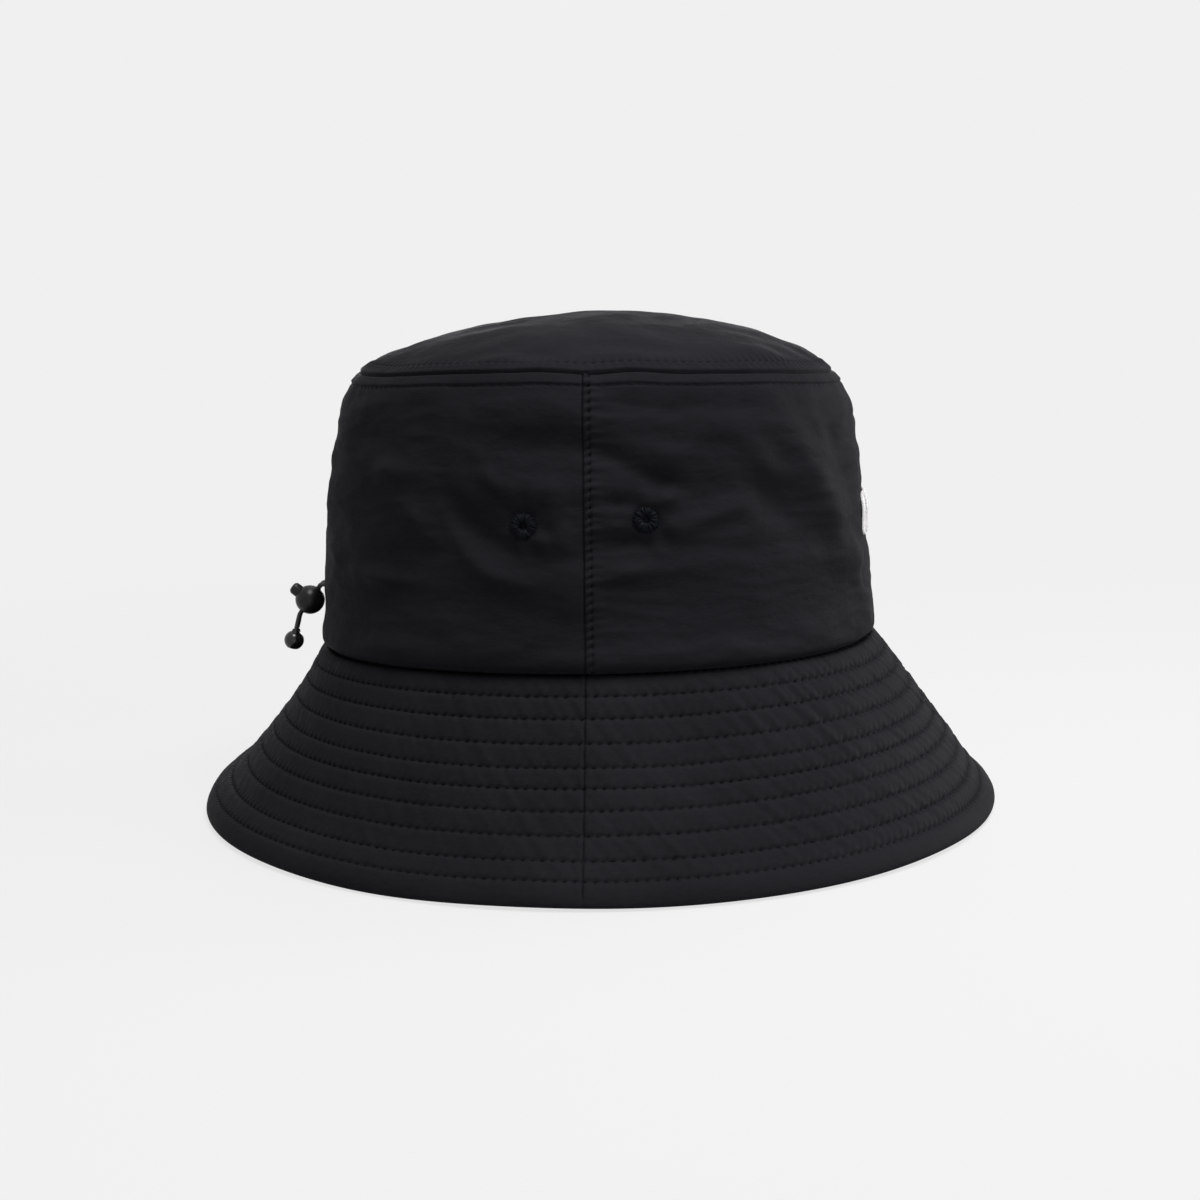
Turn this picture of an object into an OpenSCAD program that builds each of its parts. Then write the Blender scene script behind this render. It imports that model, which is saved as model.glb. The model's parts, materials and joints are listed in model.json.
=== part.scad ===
// Bucket hat: two-panel crown with an oval tip, sloping quilted brim, vent
// eyelets, a drawcord in the sweatband and a spring cord lock at the back.
// +X is the front, +Z is up. The brim edge stands on z = 0.

/* [Crown] */
// Length of the crown at its base, front to back
crown_len = 206.4; // [190:0.2:226]
// How much narrower the hat is than long
oval = 28; // [16:1:36]
// Length of the tip where it is sewn to the wall
tip_len = 174; // [160:0.5:184]
// Height of the wall from the brim seam to the tip seam
wall_h = 94.5; // [75:0.5:115]
// How far the wall rolls in just below the tip seam
shoulder = 6; // [2:0.5:8]
// Rise of the tip above its seam
tip_rise = 21; // [10:0.5:28]

/* [Brim] */
// Length of the hat across the brim edge, front to back
brim_len = 294.6; // [270:0.2:330]
// Height of the brim seam above the brim edge
brim_h = 62.5; // [45:0.5:75]
// How far the crown's lower edge stands out over the brim
crown_over = 2; // [1.2:0.1:2.4]
// How far the middle of the brim hangs in from a straight cone
brim_sag = 1; // [0:0.1:3]

/* [Cloth] */
// Thickness of the outer cloth
shell_t = 1; // [0.8:0.1:1.4]
// Thickness of the lining
lining_t = 0.6; // [0.4:0.1:0.8]
// Thickness of the brim's stiff core
core_t = 0.8; // [0.6:0.1:1.6]
// How far the core stops short of the brim edge, where the cloth is turned in
core_back = 3; // [1:0.5:6]

/* [Sweatband] */
// Height of the sweatband
band_h = 32; // [26:1:40]
// Thickness of the sweatband
band_t = 0.9; // [0.6:0.1:1.2]

/* [Drawcord] */
// Diameter of the drawcord
cord_d = 1.6; // [1.4:0.05:1.7]
// Height of the drawcord above the brim seam
cord_up = 16.8; // [15:0.2:19]
// Distance between the two holes that the cord leaves by
exit_gap = 5.6; // [5.4:0.1:7]
// Diameter of the embroidery round a cord hole
exit_d = 5; // [4.4:0.1:5.2]
// Length of the tail from the lock's swivel point to the middle of the end ball
tail_len = 10.7; // [9:0.1:16]
// How far the tail leans out from vertical, in degrees
tail_lean = 15; // [5:1:25]
// Diameter of the end ball
ball_d = 7.4; // [6.8:0.1:8.4]
// Diameter of the knot inside the end ball
knot_d = 4.2; // [3.6:0.1:4.6]

/* [Cord lock] */
// Diameter of the round housing
lock_d = 11; // [10.4:0.1:12]
// Angle of the button above horizontal
lock_tilt = 38; // [34:1:42]
// Diameter of the button
button_d = 4.8; // [4.7:0.05:5.2]
// How far the button stands out of the housing
button_out = 2.8; // [2.4:0.1:3.6]
// Travel of the button
press = 1.5; // [1:0.1:1.6]
// Diameter of the spring wire
wire_d = 0.3; // [0.2:0.05:0.3]

/* [Vent eyelets] */
// Diameter of the embroidery round a vent hole
vent_d = 8.7; // [6:0.1:10]
// Diameter of a vent hole
vent_hole = 2; // [1.6:0.1:3]
// Height of the vents above the brim seam
vent_up = 49; // [40:1:60]
// Distance of a vent from the side seam
vent_off = 20.5; // [12:0.5:30]
// Thickness of eyelet embroidery on the cloth
flange_t = 0.5; // [0.3:0.05:0.6]

/* [Embroidery] */
// Number of bars in the motif
bars = 5; // [3:1:5]
// Height of a bar
bar_h = 15; // [8:0.5:18]
// Width of a bar
bar_w = 3.6; // [2:0.1:4.4]
// Distance from bar to bar
bar_pitch = 7; // [6:0.1:8]
// Slant of a bar from vertical, in degrees
bar_slant = 12; // [0:1:18]
// Height of the motif's middle above the brim seam
motif_up = 43.5; // [35:0.5:55]

/* [Hidden] */

// Angle between neighbouring rings of points round the hat
step = 5;
wall_levels = 6;
brim_levels = 2;
tip_levels = 6;
round_fn = 48;
small_fn = 24;

// Clearance between pieces that move against each other
clear = 0.3;
// Clearance of a sliding fit, on the radius
slide_fit = 0.05;
// Clearance between a piece of embroidery and the cloth under it
lie = 0.12;
// Gap that keeps the sweatband off the facets of the lining
band_gap = 0.05;

base_a = crown_len / 2;
tip_a = tip_len / 2;
edge_a = brim_len / 2;
root_a = base_a - crown_over;
seam_z = brim_h + wall_h;
lean = base_a - tip_a - shoulder;
// The dome's steepness at its rim: higher is flatter on top
dome_power = 2.9;
// The shoulder's sharpness: higher keeps the roll nearer to the seam
shoulder_power = 9;

// Half length of the wall's outer face at height z
function wall_share(z) = (z - brim_h) / wall_h;
function wall_a(z) = base_a - lean * wall_share(z)
    - shoulder * pow(max(wall_share(z), 0), shoulder_power);
lean_angle = atan(lean / wall_h);

// A ring of the hat is [half length, half width, height]
function ring(a, z) = [a, a - oval / 2, z];
function on_ring(r, t) = [r[0] * cos(t), r[1] * sin(t), r[2]];
function flip(list) = [for (i = [len(list) - 1:-1:0]) list[i]];

// Wall rings from the brim seam up, set in by depth; closer together near the top
function wall_z(i) = brim_h + wall_h * (1 - pow(1 - i / wall_levels, 1.7));
function wall_rings(depth) = [
    for (i = [0:wall_levels]) ring(wall_a(wall_z(i)) - depth, wall_z(i))
];

// Brim rings from the edge up, set in by depth measured level
function brim_z(i) = brim_h * i / brim_levels;
function brim_a(z) = edge_a + (root_a - edge_a) * z / brim_h
    - brim_sag * 4 * (z / brim_h) * (1 - z / brim_h);
function brim_rings(depth, from_z) = [
    for (i = [0:brim_levels])
        let (z = max(from_z, brim_z(i)))
        ring(brim_a(z) - depth, z)
];
// Level thickness of a layer that lies on the slope of the brim
brim_slope = atan(brim_h / (edge_a - root_a));
function level(t) = t / sin(brim_slope);

// Tip rings from the rim to next to the apex, set in by depth
function tip_ring(depth, s) = [
    (tip_a - depth) * s,
    (tip_a - oval / 2 - depth) * s,
    seam_z + (tip_rise - depth) * (1 - pow(s, dome_power))
];
function tip_rings(depth) = [
    for (i = [0:tip_levels - 1]) tip_ring(depth, 1 - i / tip_levels)
];

// A closed solid that follows the hat's oval from one angle to another.
// The rings go up the outer face and down the inner one.
module loft(rings, from = 0, to = 360) {
    n = len(rings);
    whole = to - from == 360;
    steps = (to - from) / step;
    last = whole ? steps - 1 : steps;
    points = [for (j = [0:last]) for (r = rings) on_ring(r, from + j * step)];
    sides = [
        for (j = [0:steps - 1]) for (i = [0:n - 1])
            let (
                k = (i + 1) % n,
                next = (j + 1) % (last + 1),
                a = j * n + i,
                b = j * n + k,
                c = next * n + k,
                d = next * n + i
            )
            each rings[k][2] > rings[i][2] ? [[a, b, c], [a, c, d]] : [[a, b, d], [b, c, d]]
    ];
    caps = whole ? [] : [
        [for (i = [n - 1:-1:0]) i],
        [for (i = [0:n - 1]) last * n + i]
    ];
    polyhedron(points = points, faces = concat(sides, caps));
}

// A closed dome between an outer and an inner stack of rings
module dome(outer, inner, outer_top, inner_top) {
    m = len(outer);
    rings = concat(outer, flip(inner));
    n = len(rings);
    steps = 360 / step;
    points = concat(
        [for (j = [0:steps - 1]) for (r = rings) on_ring(r, j * step)],
        [[0, 0, outer_top], [0, 0, inner_top]]
    );
    top = steps * n;
    faces = [
        for (j = [0:steps - 1]) for (i = [0:n - 1])
            let (
                k = (i + 1) % n,
                next = (j + 1) % steps,
                a = j * n + i,
                b = j * n + k,
                c = next * n + k,
                d = next * n + i
            )
            each i == m - 1 ? [[a, top, d], [top + 1, b, c]]
                : rings[k][2] > rings[i][2] ? [[a, b, c], [a, c, d]]
                : [[a, b, d], [b, c, d]]
    ];
    polyhedron(points = points, faces = faces);
}

// A round cord along a path; up is any direction that the path never takes
function unit(v) = v / norm(v);
function heading(path, i) = unit(path[min(i + 1, len(path) - 1)] - path[max(i - 1, 0)]);
function around(path, i, r, sides, up) =
    let (
        t = heading(path, i),
        side = unit(cross(t, up)),
        top = cross(side, t)
    )
    [for (k = [0:sides - 1]) path[i] + r * (cos(360 * k / sides) * side + sin(360 * k / sides) * top)];
module cord(path, d, sides = 8, up = [0, 0, 1]) {
    n = len(path);
    points = [for (i = [0:n - 1]) each around(path, i, d / 2, sides, up)];
    walls = [
        for (i = [0:n - 2]) for (k = [0:sides - 1])
            let (
                q = (k + 1) % sides,
                a = i * sides + k,
                b = i * sides + q
            )
            each [[a, b + sides, a + sides], [a, b, b + sides]]
    ];
    ends = [
        [for (k = [sides - 1:-1:0]) k],
        [for (k = [0:sides - 1]) (n - 1) * sides + k]
    ];
    polyhedron(points = points, faces = concat(walls, ends));
}

// Puts its children on the wall at angle t and height z, with +Z outward
module on_wall(t, z, out = 0) {
    a = wall_a(z);
    b = a - oval / 2;
    rotate_to = atan2(sin(t) / b, cos(t) / a);
    translate([a * cos(t), b * sin(t), z])
        rotate([0, 90 - lean_angle, rotate_to])
            translate([0, 0, out])
                children();
}

// Vents: angle on the wall of a vent, counted from the right (-Y) side seam
vent_z = brim_h + vent_up;
vent_angle = asin(vent_off / wall_a(vent_z));
barrel_t = 0.5;
liner_depth = shell_t + lining_t;

// Cord exits at the back: the cord leaves the wall level, through two holes
cord_r = cord_d / 2;
exit_z = brim_h + cord_up;
exit_y = exit_gap / 2;
exit_fit = 0.2;
exit_barrel = 0.3;
exit_bore = cord_d + 2 * exit_fit;
exit_cut = exit_bore + 2 * exit_barrel + 2 * lie;
// The lining's hole is wider, because the cord turns into its channel there
turn_cut = exit_cut + cord_d;
exit_a = wall_a(exit_z);
exit_angle = asin(exit_y / (exit_a - oval / 2));
// The swivel point of the lock, one cord radius clear of the embroidery
pivot_a = exit_a + lie + flange_t + clear + cord_r;

// Cord lock: its cord passage runs square to the button
lock_r = lock_d / 2;
passage_drop = 90 - lock_tilt;
lock_seat = clear + 0.05;
lock_reach = (exit_a + lock_seat + lock_r - pivot_a)
    / (cos(passage_drop) - tan(lean_angle) * sin(passage_drop));
lock_x = -pivot_a - lock_reach * cos(passage_drop);
lock_z = exit_z - lock_reach * sin(passage_drop);
strand_y = cord_r + 0.05;
passage_h = cord_d + 0.5;
passage_w = 2 * strand_y + passage_h;
well_r = button_d / 2 + slide_fit;
well_floor = -(lock_r - 1.1);
window_slack = 0.1;
window_low = -(cord_r + window_slack);
window_high = cord_r + window_slack + press;
window_w = 2 * (strand_y + cord_r) + 0.4;
button_foot = window_low - 1;
button_top = lock_r + button_out;
spring_r = 1.5;
spring_turns = 3;

// Cord end: the tail swivels just outside the passage
tail_pivot = lock_r + clear + cord_r;
neck_knee = lock_r - 0.2;
lead_start = neck_knee - cord_r - clear;
lead_end = -(lock_r - 0.1);
ball_r = ball_d / 2;
collar_wall = 0.4;
collar_h = 1;
cord_fit = 0.1;
knot_r = knot_d / 2;
// The knot lies this far below the middle of the ball
knot_drop = 1.2;

// Drawcord: it lies between the lining and the sweatband
channel_h = cord_d + 0.6;
channel_depth = cord_d + 0.4;
channel_a = exit_a - liner_depth - band_gap - channel_depth / 2;

// Crown: outer cloth
module wall_layer(depth, t, from, to) {
    loft(concat(wall_rings(depth), flip(wall_rings(depth + t))), from, to);
}

module vent_cuts(d) {
    for (side = [-90, 90], way = [-1, 1])
        on_wall(side + way * vent_angle, vent_z)
            cylinder(h = 8, d = d, center = true, $fn = small_fn);
}

module exit_cuts(d) {
    for (side = [-1, 1])
        on_wall(180 - side * exit_angle, exit_z)
            cylinder(h = 8, d = d, center = true, $fn = small_fn);
}

vent_cut = vent_hole + 2 * barrel_t + 2 * lie;

module crown_front() {
    color([0.11, 0.11, 0.12])
        difference() {
            wall_layer(0, shell_t, -90, 90);
            vent_cuts(vent_cut);
        }
}

module crown_back() {
    color([0.1, 0.1, 0.11])
        difference() {
            wall_layer(0, shell_t, 90, 270);
            vent_cuts(vent_cut);
            exit_cuts(exit_cut);
        }
}

module tip_layer(depth, t) {
    dome(
        tip_rings(depth), tip_rings(depth + t),
        seam_z + tip_rise - depth, seam_z + tip_rise - depth - t
    );
}

module crown_tip() {
    color([0.13, 0.13, 0.14]) tip_layer(0, shell_t);
}

// Crown: lining
module lining_front() {
    color([0.2, 0.2, 0.22])
        difference() {
            wall_layer(shell_t, lining_t, -90, 90);
            vent_cuts(vent_cut);
        }
}

module lining_back() {
    color([0.18, 0.18, 0.2])
        difference() {
            wall_layer(shell_t, lining_t, 90, 270);
            vent_cuts(vent_cut);
            exit_cuts(turn_cut);
        }
}

module tip_lining() {
    color([0.22, 0.22, 0.24]) tip_layer(shell_t, lining_t);
}

// Sweatband with the drawcord's channel pressed into its outer face
module sweatband() {
    low = exit_z - channel_h / 2;
    high = exit_z + channel_h / 2;
    face = function (z, depth) ring(wall_a(z) - liner_depth - band_gap - depth, z);
    outer = [
        face(brim_h, 0), face(low, 0),
        face(low, channel_depth), face(high, channel_depth),
        face(high, 0), face(brim_h + band_h, 0)
    ];
    inner = [
        face(brim_h, band_t), face(low - band_t, band_t),
        face(low - band_t, channel_depth + band_t), face(high + band_t, channel_depth + band_t),
        face(high + band_t, band_t), face(brim_h + band_h, band_t)
    ];
    color([0.15, 0.15, 0.17]) loft(concat(outer, flip(inner)));
}

// Brim: top cloth, stiff core and under cloth. The cloths close round the core's edge.
core_in = level(shell_t);
under_in = core_in + level(core_t);
brim_in = under_in + level(shell_t);
core_z = core_back * sin(brim_slope);

module brim_top(from, to) {
    outer = brim_rings(0, 0);
    fold = (core_in + under_in) / 2;
    inner = concat(
        [ring(brim_a(0) - fold, 0), ring(brim_a(core_z) - fold, core_z)],
        brim_rings(core_in, core_z)
    );
    color([0.12, 0.12, 0.13]) loft(concat(outer, flip(inner)), from, to);
}

module brim_core(from, to) {
    color([0.75, 0.75, 0.72])
        loft(concat(brim_rings(core_in, core_z), flip(brim_rings(under_in, core_z))), from, to);
}

module brim_under(from, to) {
    fold = (core_in + under_in) / 2;
    outer = concat(
        [ring(brim_a(0) - fold, 0), ring(brim_a(core_z) - fold, core_z)],
        brim_rings(under_in, core_z)
    );
    color([0.1, 0.1, 0.11]) loft(concat(outer, flip(brim_rings(brim_in, 0))), from, to);
}

// Embroidered eyelet: a raised ring on the cloth and a sewn edge through the layers
module eyelet(d, hole, barrel, through) {
    r = d / 2;
    bore = hole / 2;
    rim = flange_t / 2;
    rotate_extrude($fn = round_fn) {
        translate([bore, lie]) square([r - rim - bore, flange_t]);
        translate([r - rim, lie + rim]) circle(r = rim, $fn = small_fn);
        translate([bore, -through]) square([barrel, through + lie + rim]);
    }
}

module vent_eyelet(t) {
    color([0.07, 0.08, 0.08])
        on_wall(t, vent_z)
            eyelet(vent_d, vent_hole, barrel_t, liner_depth);
}

module cord_eyelet(side) {
    color([0.07, 0.08, 0.08])
        on_wall(180 - side * exit_angle, exit_z)
            eyelet(exit_d, exit_bore, exit_barrel, shell_t);
}

// Motif: a row of slanted bars with round ends
module front_motif() {
    motif_z = brim_h + motif_up;
    motif_b = wall_a(motif_z) - oval / 2;
    r = bar_w / 2;
    straight = bar_h - bar_w;
    color([0.74, 0.73, 0.73])
        for (i = [0:bars - 1])
            on_wall(asin((i - (bars - 1) / 2) * bar_pitch / motif_b), motif_z, lie)
                rotate([0, 0, 90 + bar_slant])
                    linear_extrude(flange_t) {
                        square([bar_w, straight], center = true);
                        for (way = [-1, 1])
                            translate([0, way * straight / 2]) circle(r = r, $fn = small_fn);
                    }
}

// Drawcord: round the head in its channel, then out through both back eyelets
bend = cord_r + 0.4;
cord_end_a = pivot_a - cord_r - clear;
function channel_point(t) = on_ring(ring(channel_a, exit_z), t);
function exit_route(side) = [
    [-cord_end_a, side * exit_y, exit_z],
    [-channel_a - bend, side * exit_y, exit_z],
    [-channel_a - bend * 0.55, side * (exit_y + bend * 0.2), exit_z],
    [-channel_a - bend * 0.1, side * (exit_y + bend * 0.8), exit_z],
    [-channel_a + bend * 0.15, side * (exit_y + bend * 1.8), exit_z]
];

module drawcord() {
    route = concat(
        exit_route(1),
        [for (t = [180 - 2 * step:-step:2 * step - 180]) channel_point(t)],
        flip(exit_route(-1))
    );
    color([0.05, 0.05, 0.05]) cord(route, cord_d);
}

// Cord lock. Its own frame: +Z along the button, +X along the passage to the crown.
module in_lock() {
    translate([lock_x, 0, lock_z])
        rotate([0, lock_tilt - 90, 0])
            children();
}

// A flat-sided slot along X with round ends in Y
module slot(len_x, w, h) {
    rotate([0, 90, 0]) {
        cube([h, w - h, len_x], center = true);
        for (y = [-1, 1])
            translate([0, y * (w - h) / 2, 0])
                cylinder(h = len_x, d = h, center = true, $fn = small_fn);
    }
}

module lock_housing() {
    color([0.06, 0.06, 0.065])
        in_lock()
            difference() {
                sphere(r = lock_r, $fn = round_fn);
                translate([0, 0, well_floor])
                    cylinder(h = lock_d, r = well_r, $fn = round_fn);
                slot(2 * lock_d, passage_w, passage_h);
            }
}

module lock_button() {
    dome_z = button_top - button_d / 2;
    color([0.09, 0.09, 0.095])
        in_lock()
            difference() {
                union() {
                    translate([0, 0, button_foot])
                        cylinder(h = dome_z - button_foot, d = button_d, $fn = round_fn);
                    translate([0, 0, dome_z]) sphere(d = button_d, $fn = round_fn);
                }
                translate([-button_d, -window_w / 2, window_low])
                    cube([2 * button_d, window_w, window_high - window_low]);
            }
}

// Compression spring under the button
module lock_spring() {
    low = well_floor + wire_d / 2 + 0.05;
    high = button_foot - wire_d / 2 - 0.05;
    turn_steps = 12;
    count = spring_turns * turn_steps;
    color([0.7, 0.7, 0.72])
        in_lock()
            cord(
                [for (i = [0:count]) [
                    spring_r * cos(360 * i / turn_steps),
                    spring_r * sin(360 * i / turn_steps),
                    low + (high - low) * i / count
                ]],
                wire_d, 6
            );
}

// A straight round strand between two points, with a ball at its start
module strand(from, to) {
    v = to - from;
    translate(from) {
        sphere(d = cord_d, $fn = small_fn);
        rotate([0, acos(v[2] / norm(v)), atan2(v[1], v[0])])
            cylinder(h = norm(v), d = cord_d, $fn = small_fn);
    }
}

// The two strands between the back eyelets and the lock
module cord_neck() {
    color([0.05, 0.05, 0.05])
        in_lock()
            for (side = [-1, 1]) {
                strand([lock_reach, side * exit_y, 0], [neck_knee, side * strand_y, 0]);
                translate([neck_knee, side * strand_y, 0]) sphere(d = cord_d, $fn = small_fn);
            }
}

// The two strands inside the lock, which slide out when the cord is drawn tight
module cord_lead() {
    color([0.05, 0.05, 0.05])
        in_lock()
            for (side = [-1, 1])
                translate([lead_end, side * strand_y, 0])
                    rotate([0, 90, 0])
                        cylinder(h = lead_start - lead_end, d = cord_d, $fn = small_fn);
}

// Cord end. Its own frame: origin at the swivel point, -Z along the hanging tail.
module in_tail() {
    translate([
        lock_x - tail_pivot * cos(passage_drop),
        0,
        lock_z - tail_pivot * sin(passage_drop)
    ])
        rotate([0, tail_lean, 0])
            children();
}

// Both strands' places, side by side
module both_strands() {
    for (side = [-1, 1])
        translate([0, side * strand_y, 0])
            children();
}

module cord_tail() {
    reach = tail_len + knot_drop - knot_r - 0.05;
    color([0.05, 0.05, 0.05])
        in_tail()
            both_strands()
                strand([0, 0, 0], [0, 0, -reach]);
}

// Ball with a collar on top, where the strands go in, and a pocket below for the knot
module end_ball() {
    collar_r = cord_r + collar_wall;
    collar_low = ball_r - collar_h;
    color([0.16, 0.16, 0.17])
        in_tail()
            translate([0, 0, -tail_len])
                difference() {
                    union() {
                        sphere(r = ball_r, $fn = round_fn);
                        both_strands()
                            translate([0, 0, collar_low])
                                cylinder(
                                    h = 2 * collar_h, r1 = collar_r + 0.5, r2 = collar_r,
                                    $fn = small_fn
                                );
                    }
                    both_strands()
                        cylinder(h = ball_d, r = cord_r + cord_fit, $fn = small_fn);
                    translate([0, 0, -ball_d])
                        cylinder(
                            h = ball_d + knot_r - knot_drop + cord_fit, r = knot_r + cord_fit,
                            $fn = round_fn
                        );
                }
}

// The knot that holds the ball on the strands
module end_knot() {
    color([0.05, 0.05, 0.05])
        in_tail()
            translate([0, 0, -tail_len - knot_drop])
                sphere(r = knot_r, $fn = small_fn);
}

crown_front();
crown_back();
crown_tip();
lining_front();
lining_back();
tip_lining();
sweatband();
brim_top(-90, 90);  // brim_top_front
brim_top(90, 270);  // brim_top_back
brim_core(-90, 90);  // brim_core_front
brim_core(90, 270);  // brim_core_back
brim_under(-90, 90);  // brim_under_front
brim_under(90, 270);  // brim_under_back
vent_eyelet(-90 + vent_angle);  // vent_eyelet_right_front
vent_eyelet(-90 - vent_angle);  // vent_eyelet_right_back
vent_eyelet(90 - vent_angle);  // vent_eyelet_left_front
vent_eyelet(90 + vent_angle);  // vent_eyelet_left_back
cord_eyelet(-1);  // cord_eyelet_right
cord_eyelet(1);  // cord_eyelet_left
front_motif();
drawcord();
lock_housing();
lock_spring();
lock_button();
cord_neck();
cord_lead();
cord_tail();
end_ball();
end_knot();
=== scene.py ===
# %% [markdown]
# # A bucket hat with a cord lock
# The hat is cloth on a fixed frame: every size below is measured on the CAD
# nodes, so the cloth lies exactly where the solids are. The script goes from
# the shapes of the panels to their folds and stitches, then the embroidery, the
# cord and its lock, and last the finishes, the light and the camera.

# %% Load the frame
import json
import math

import bpy
import numpy as np
from mathutils import Matrix, Vector, noise


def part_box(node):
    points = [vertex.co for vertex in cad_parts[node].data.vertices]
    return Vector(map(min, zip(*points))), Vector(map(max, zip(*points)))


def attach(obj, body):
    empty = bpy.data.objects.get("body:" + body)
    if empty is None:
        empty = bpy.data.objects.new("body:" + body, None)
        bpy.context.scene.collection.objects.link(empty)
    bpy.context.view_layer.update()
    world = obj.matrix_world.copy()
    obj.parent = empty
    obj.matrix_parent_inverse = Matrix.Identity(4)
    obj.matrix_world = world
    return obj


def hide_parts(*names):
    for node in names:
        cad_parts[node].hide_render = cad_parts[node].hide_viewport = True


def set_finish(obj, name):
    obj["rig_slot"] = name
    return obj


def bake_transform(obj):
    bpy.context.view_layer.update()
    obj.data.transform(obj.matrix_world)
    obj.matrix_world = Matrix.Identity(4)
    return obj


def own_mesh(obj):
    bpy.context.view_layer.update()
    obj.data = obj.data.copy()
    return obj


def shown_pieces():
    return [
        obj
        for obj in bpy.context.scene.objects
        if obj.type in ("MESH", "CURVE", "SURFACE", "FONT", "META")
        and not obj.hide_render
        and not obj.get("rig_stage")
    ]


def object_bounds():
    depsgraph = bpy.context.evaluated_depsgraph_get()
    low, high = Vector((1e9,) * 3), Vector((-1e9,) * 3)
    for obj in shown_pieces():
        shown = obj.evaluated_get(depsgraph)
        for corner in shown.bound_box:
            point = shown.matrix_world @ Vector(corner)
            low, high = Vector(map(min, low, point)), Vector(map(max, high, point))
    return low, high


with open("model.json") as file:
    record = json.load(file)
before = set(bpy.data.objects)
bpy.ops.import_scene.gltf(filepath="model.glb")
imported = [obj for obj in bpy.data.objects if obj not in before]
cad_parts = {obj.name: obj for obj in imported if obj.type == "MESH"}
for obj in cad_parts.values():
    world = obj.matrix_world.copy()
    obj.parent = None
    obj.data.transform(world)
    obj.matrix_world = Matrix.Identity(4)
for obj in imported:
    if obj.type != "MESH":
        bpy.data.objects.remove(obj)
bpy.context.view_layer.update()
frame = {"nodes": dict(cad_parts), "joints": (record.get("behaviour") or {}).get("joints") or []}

# %% [markdown]
# ## Sizes
# A pattern cutter starts from a few measures: the crown's base, its top, the
# brim's edge, and their heights. They are read from the nodes' boxes and kept
# in millimetres, because cloth and thread are thought of in millimetres.

# %% Measures of the hat
MM, TURN = 0.001, 2 * math.pi


def centre(name):
    """The middle of a node's box, in mm."""
    low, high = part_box(name)
    return (low + high) / 2 / MM


def width_of(name):
    low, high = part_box(name)
    return (high.y - low.y) / MM


wall_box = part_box("crown_front")
tip_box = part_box("crown_tip")
brim_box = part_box("brim_top_front")

base_a = wall_box[1].x / MM                    # half length at the crown's base
oval = (wall_box[1].x - wall_box[1].y) / MM    # half length less half width
brim_h = wall_box[0].z / MM
seam_z = wall_box[1].z / MM
wall_h = seam_z - brim_h
tip_a = tip_box[1].x / MM
tip_rise = tip_box[1].z / MM - seam_z
edge_a = brim_box[1].x / MM
root_a = base_a - 2.0                          # the crown stands out over the brim
shoulder = 6.0
lean = base_a - tip_a - shoulder
slope = math.hypot(edge_a - root_a, brim_h)
cloth_t, lining_t, core_t = 1.0, 0.6, 0.8
face_t = 0.8 * cloth_t       # the outer cloths are modelled thinner than their allowance
print(f"crown {2 * base_a:.1f} x {2 * (base_a - oval):.1f}, wall {wall_h:.1f}, brim slope {slope:.1f} mm")

# %% [markdown]
# ## The hat's three surfaces
# A hat is made of bands round one oval. Each band is a surface with two
# directions: an angle round the head, and a distance up the cloth. Wall, tip
# and brim are each written as such a surface, so that cloth, folds, stitches
# and embroidery can all be laid on the same one. Modelling each by hand would
# look as good, but then nothing would meet at the seams.

# %% The oval, and distances round it
def ramp(x):
    return np.clip(x, 0, 1)


def running(steps):
    """The sum of the steps so far, from 0."""
    return np.concatenate([[0], np.cumsum(steps)])


angles = np.linspace(-math.pi, math.pi, 4001)
mean_a = 120.0
steps = np.hypot(mean_a * np.sin(angles), (mean_a - oval) * np.cos(angles))
share_table = running((steps[1:] + steps[:-1]) / 2)
share_table /= share_table[-1]


def girth(a):
    """Length round the oval, in mm."""
    return math.pi * (2 * a - oval) * (1 + (oval / (2 * a - oval)) ** 2 / 4)


def share(t):
    """How far round the oval an angle is, from 0 at the back to 1."""
    turns = np.floor((t + math.pi) / TURN)
    return turns + np.interp(t - turns * TURN, angles, share_table)


def share_once(t):
    """The same, with whole turns left out."""
    return share(np.arctan2(np.sin(t), np.cos(t)))


def angle_at(s):
    """The angle that lies a share s round the oval."""
    turns = np.floor(s)
    return np.interp(s - turns, share_table, angles) + turns * TURN


def on_oval(a, t, z):
    return np.stack([a * np.cos(t), (a - oval) * np.sin(t), z + 0 * a], axis=-1)


def from_side(t, a=base_a):
    """Distance from the nearer side seam, in mm: positive towards the front."""
    return (0.25 - np.abs(share_once(t) - 0.5)) * girth(a)


def bell(x, width):
    return np.exp(-((x / width) ** 2))


print(f"round the base: {girth(base_a):.0f} mm, round the brim edge: {girth(edge_a):.0f} mm")

# %% [markdown]
# The wall leans in, rolls over at the shoulder, and its lower edge is turned
# under onto the brim. Where wall and tip are sewn together, the seam runs a
# little up and down as it does on real nylon, lowest at the side seams.

# %% Wall and tip surfaces
def seam_wave(t):
    d = from_side(t)
    slow = 0.45 * np.sin(3 * t + 0.6) + 0.3 * np.sin(5 * t - 1.1)
    return slow - 0.4 * bell(d - 1, 6) + 0.7 * bell(d - 20, 10) + 0.35 * bell(d + 18, 8)


def sag(t):
    """How far the brim seam hangs down at the back, in mm."""
    return 2.6 * ((1 - np.cos(t)) / 2) ** 6


def hang(t, u):
    """How far the cloth sits above level: up at the sides and, at the rim, at the back."""
    lead, side = (1 + np.cos(t)) / 2, np.sin(t) ** 2
    rise = 1.7 * side * (1 - u) + (2.5 * side + (1.7 - 2.3 * lead) * (1 - side)) * u
    return rise - sag(t) * np.clip(1 - u, 0, 1.05) ** 3


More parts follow.
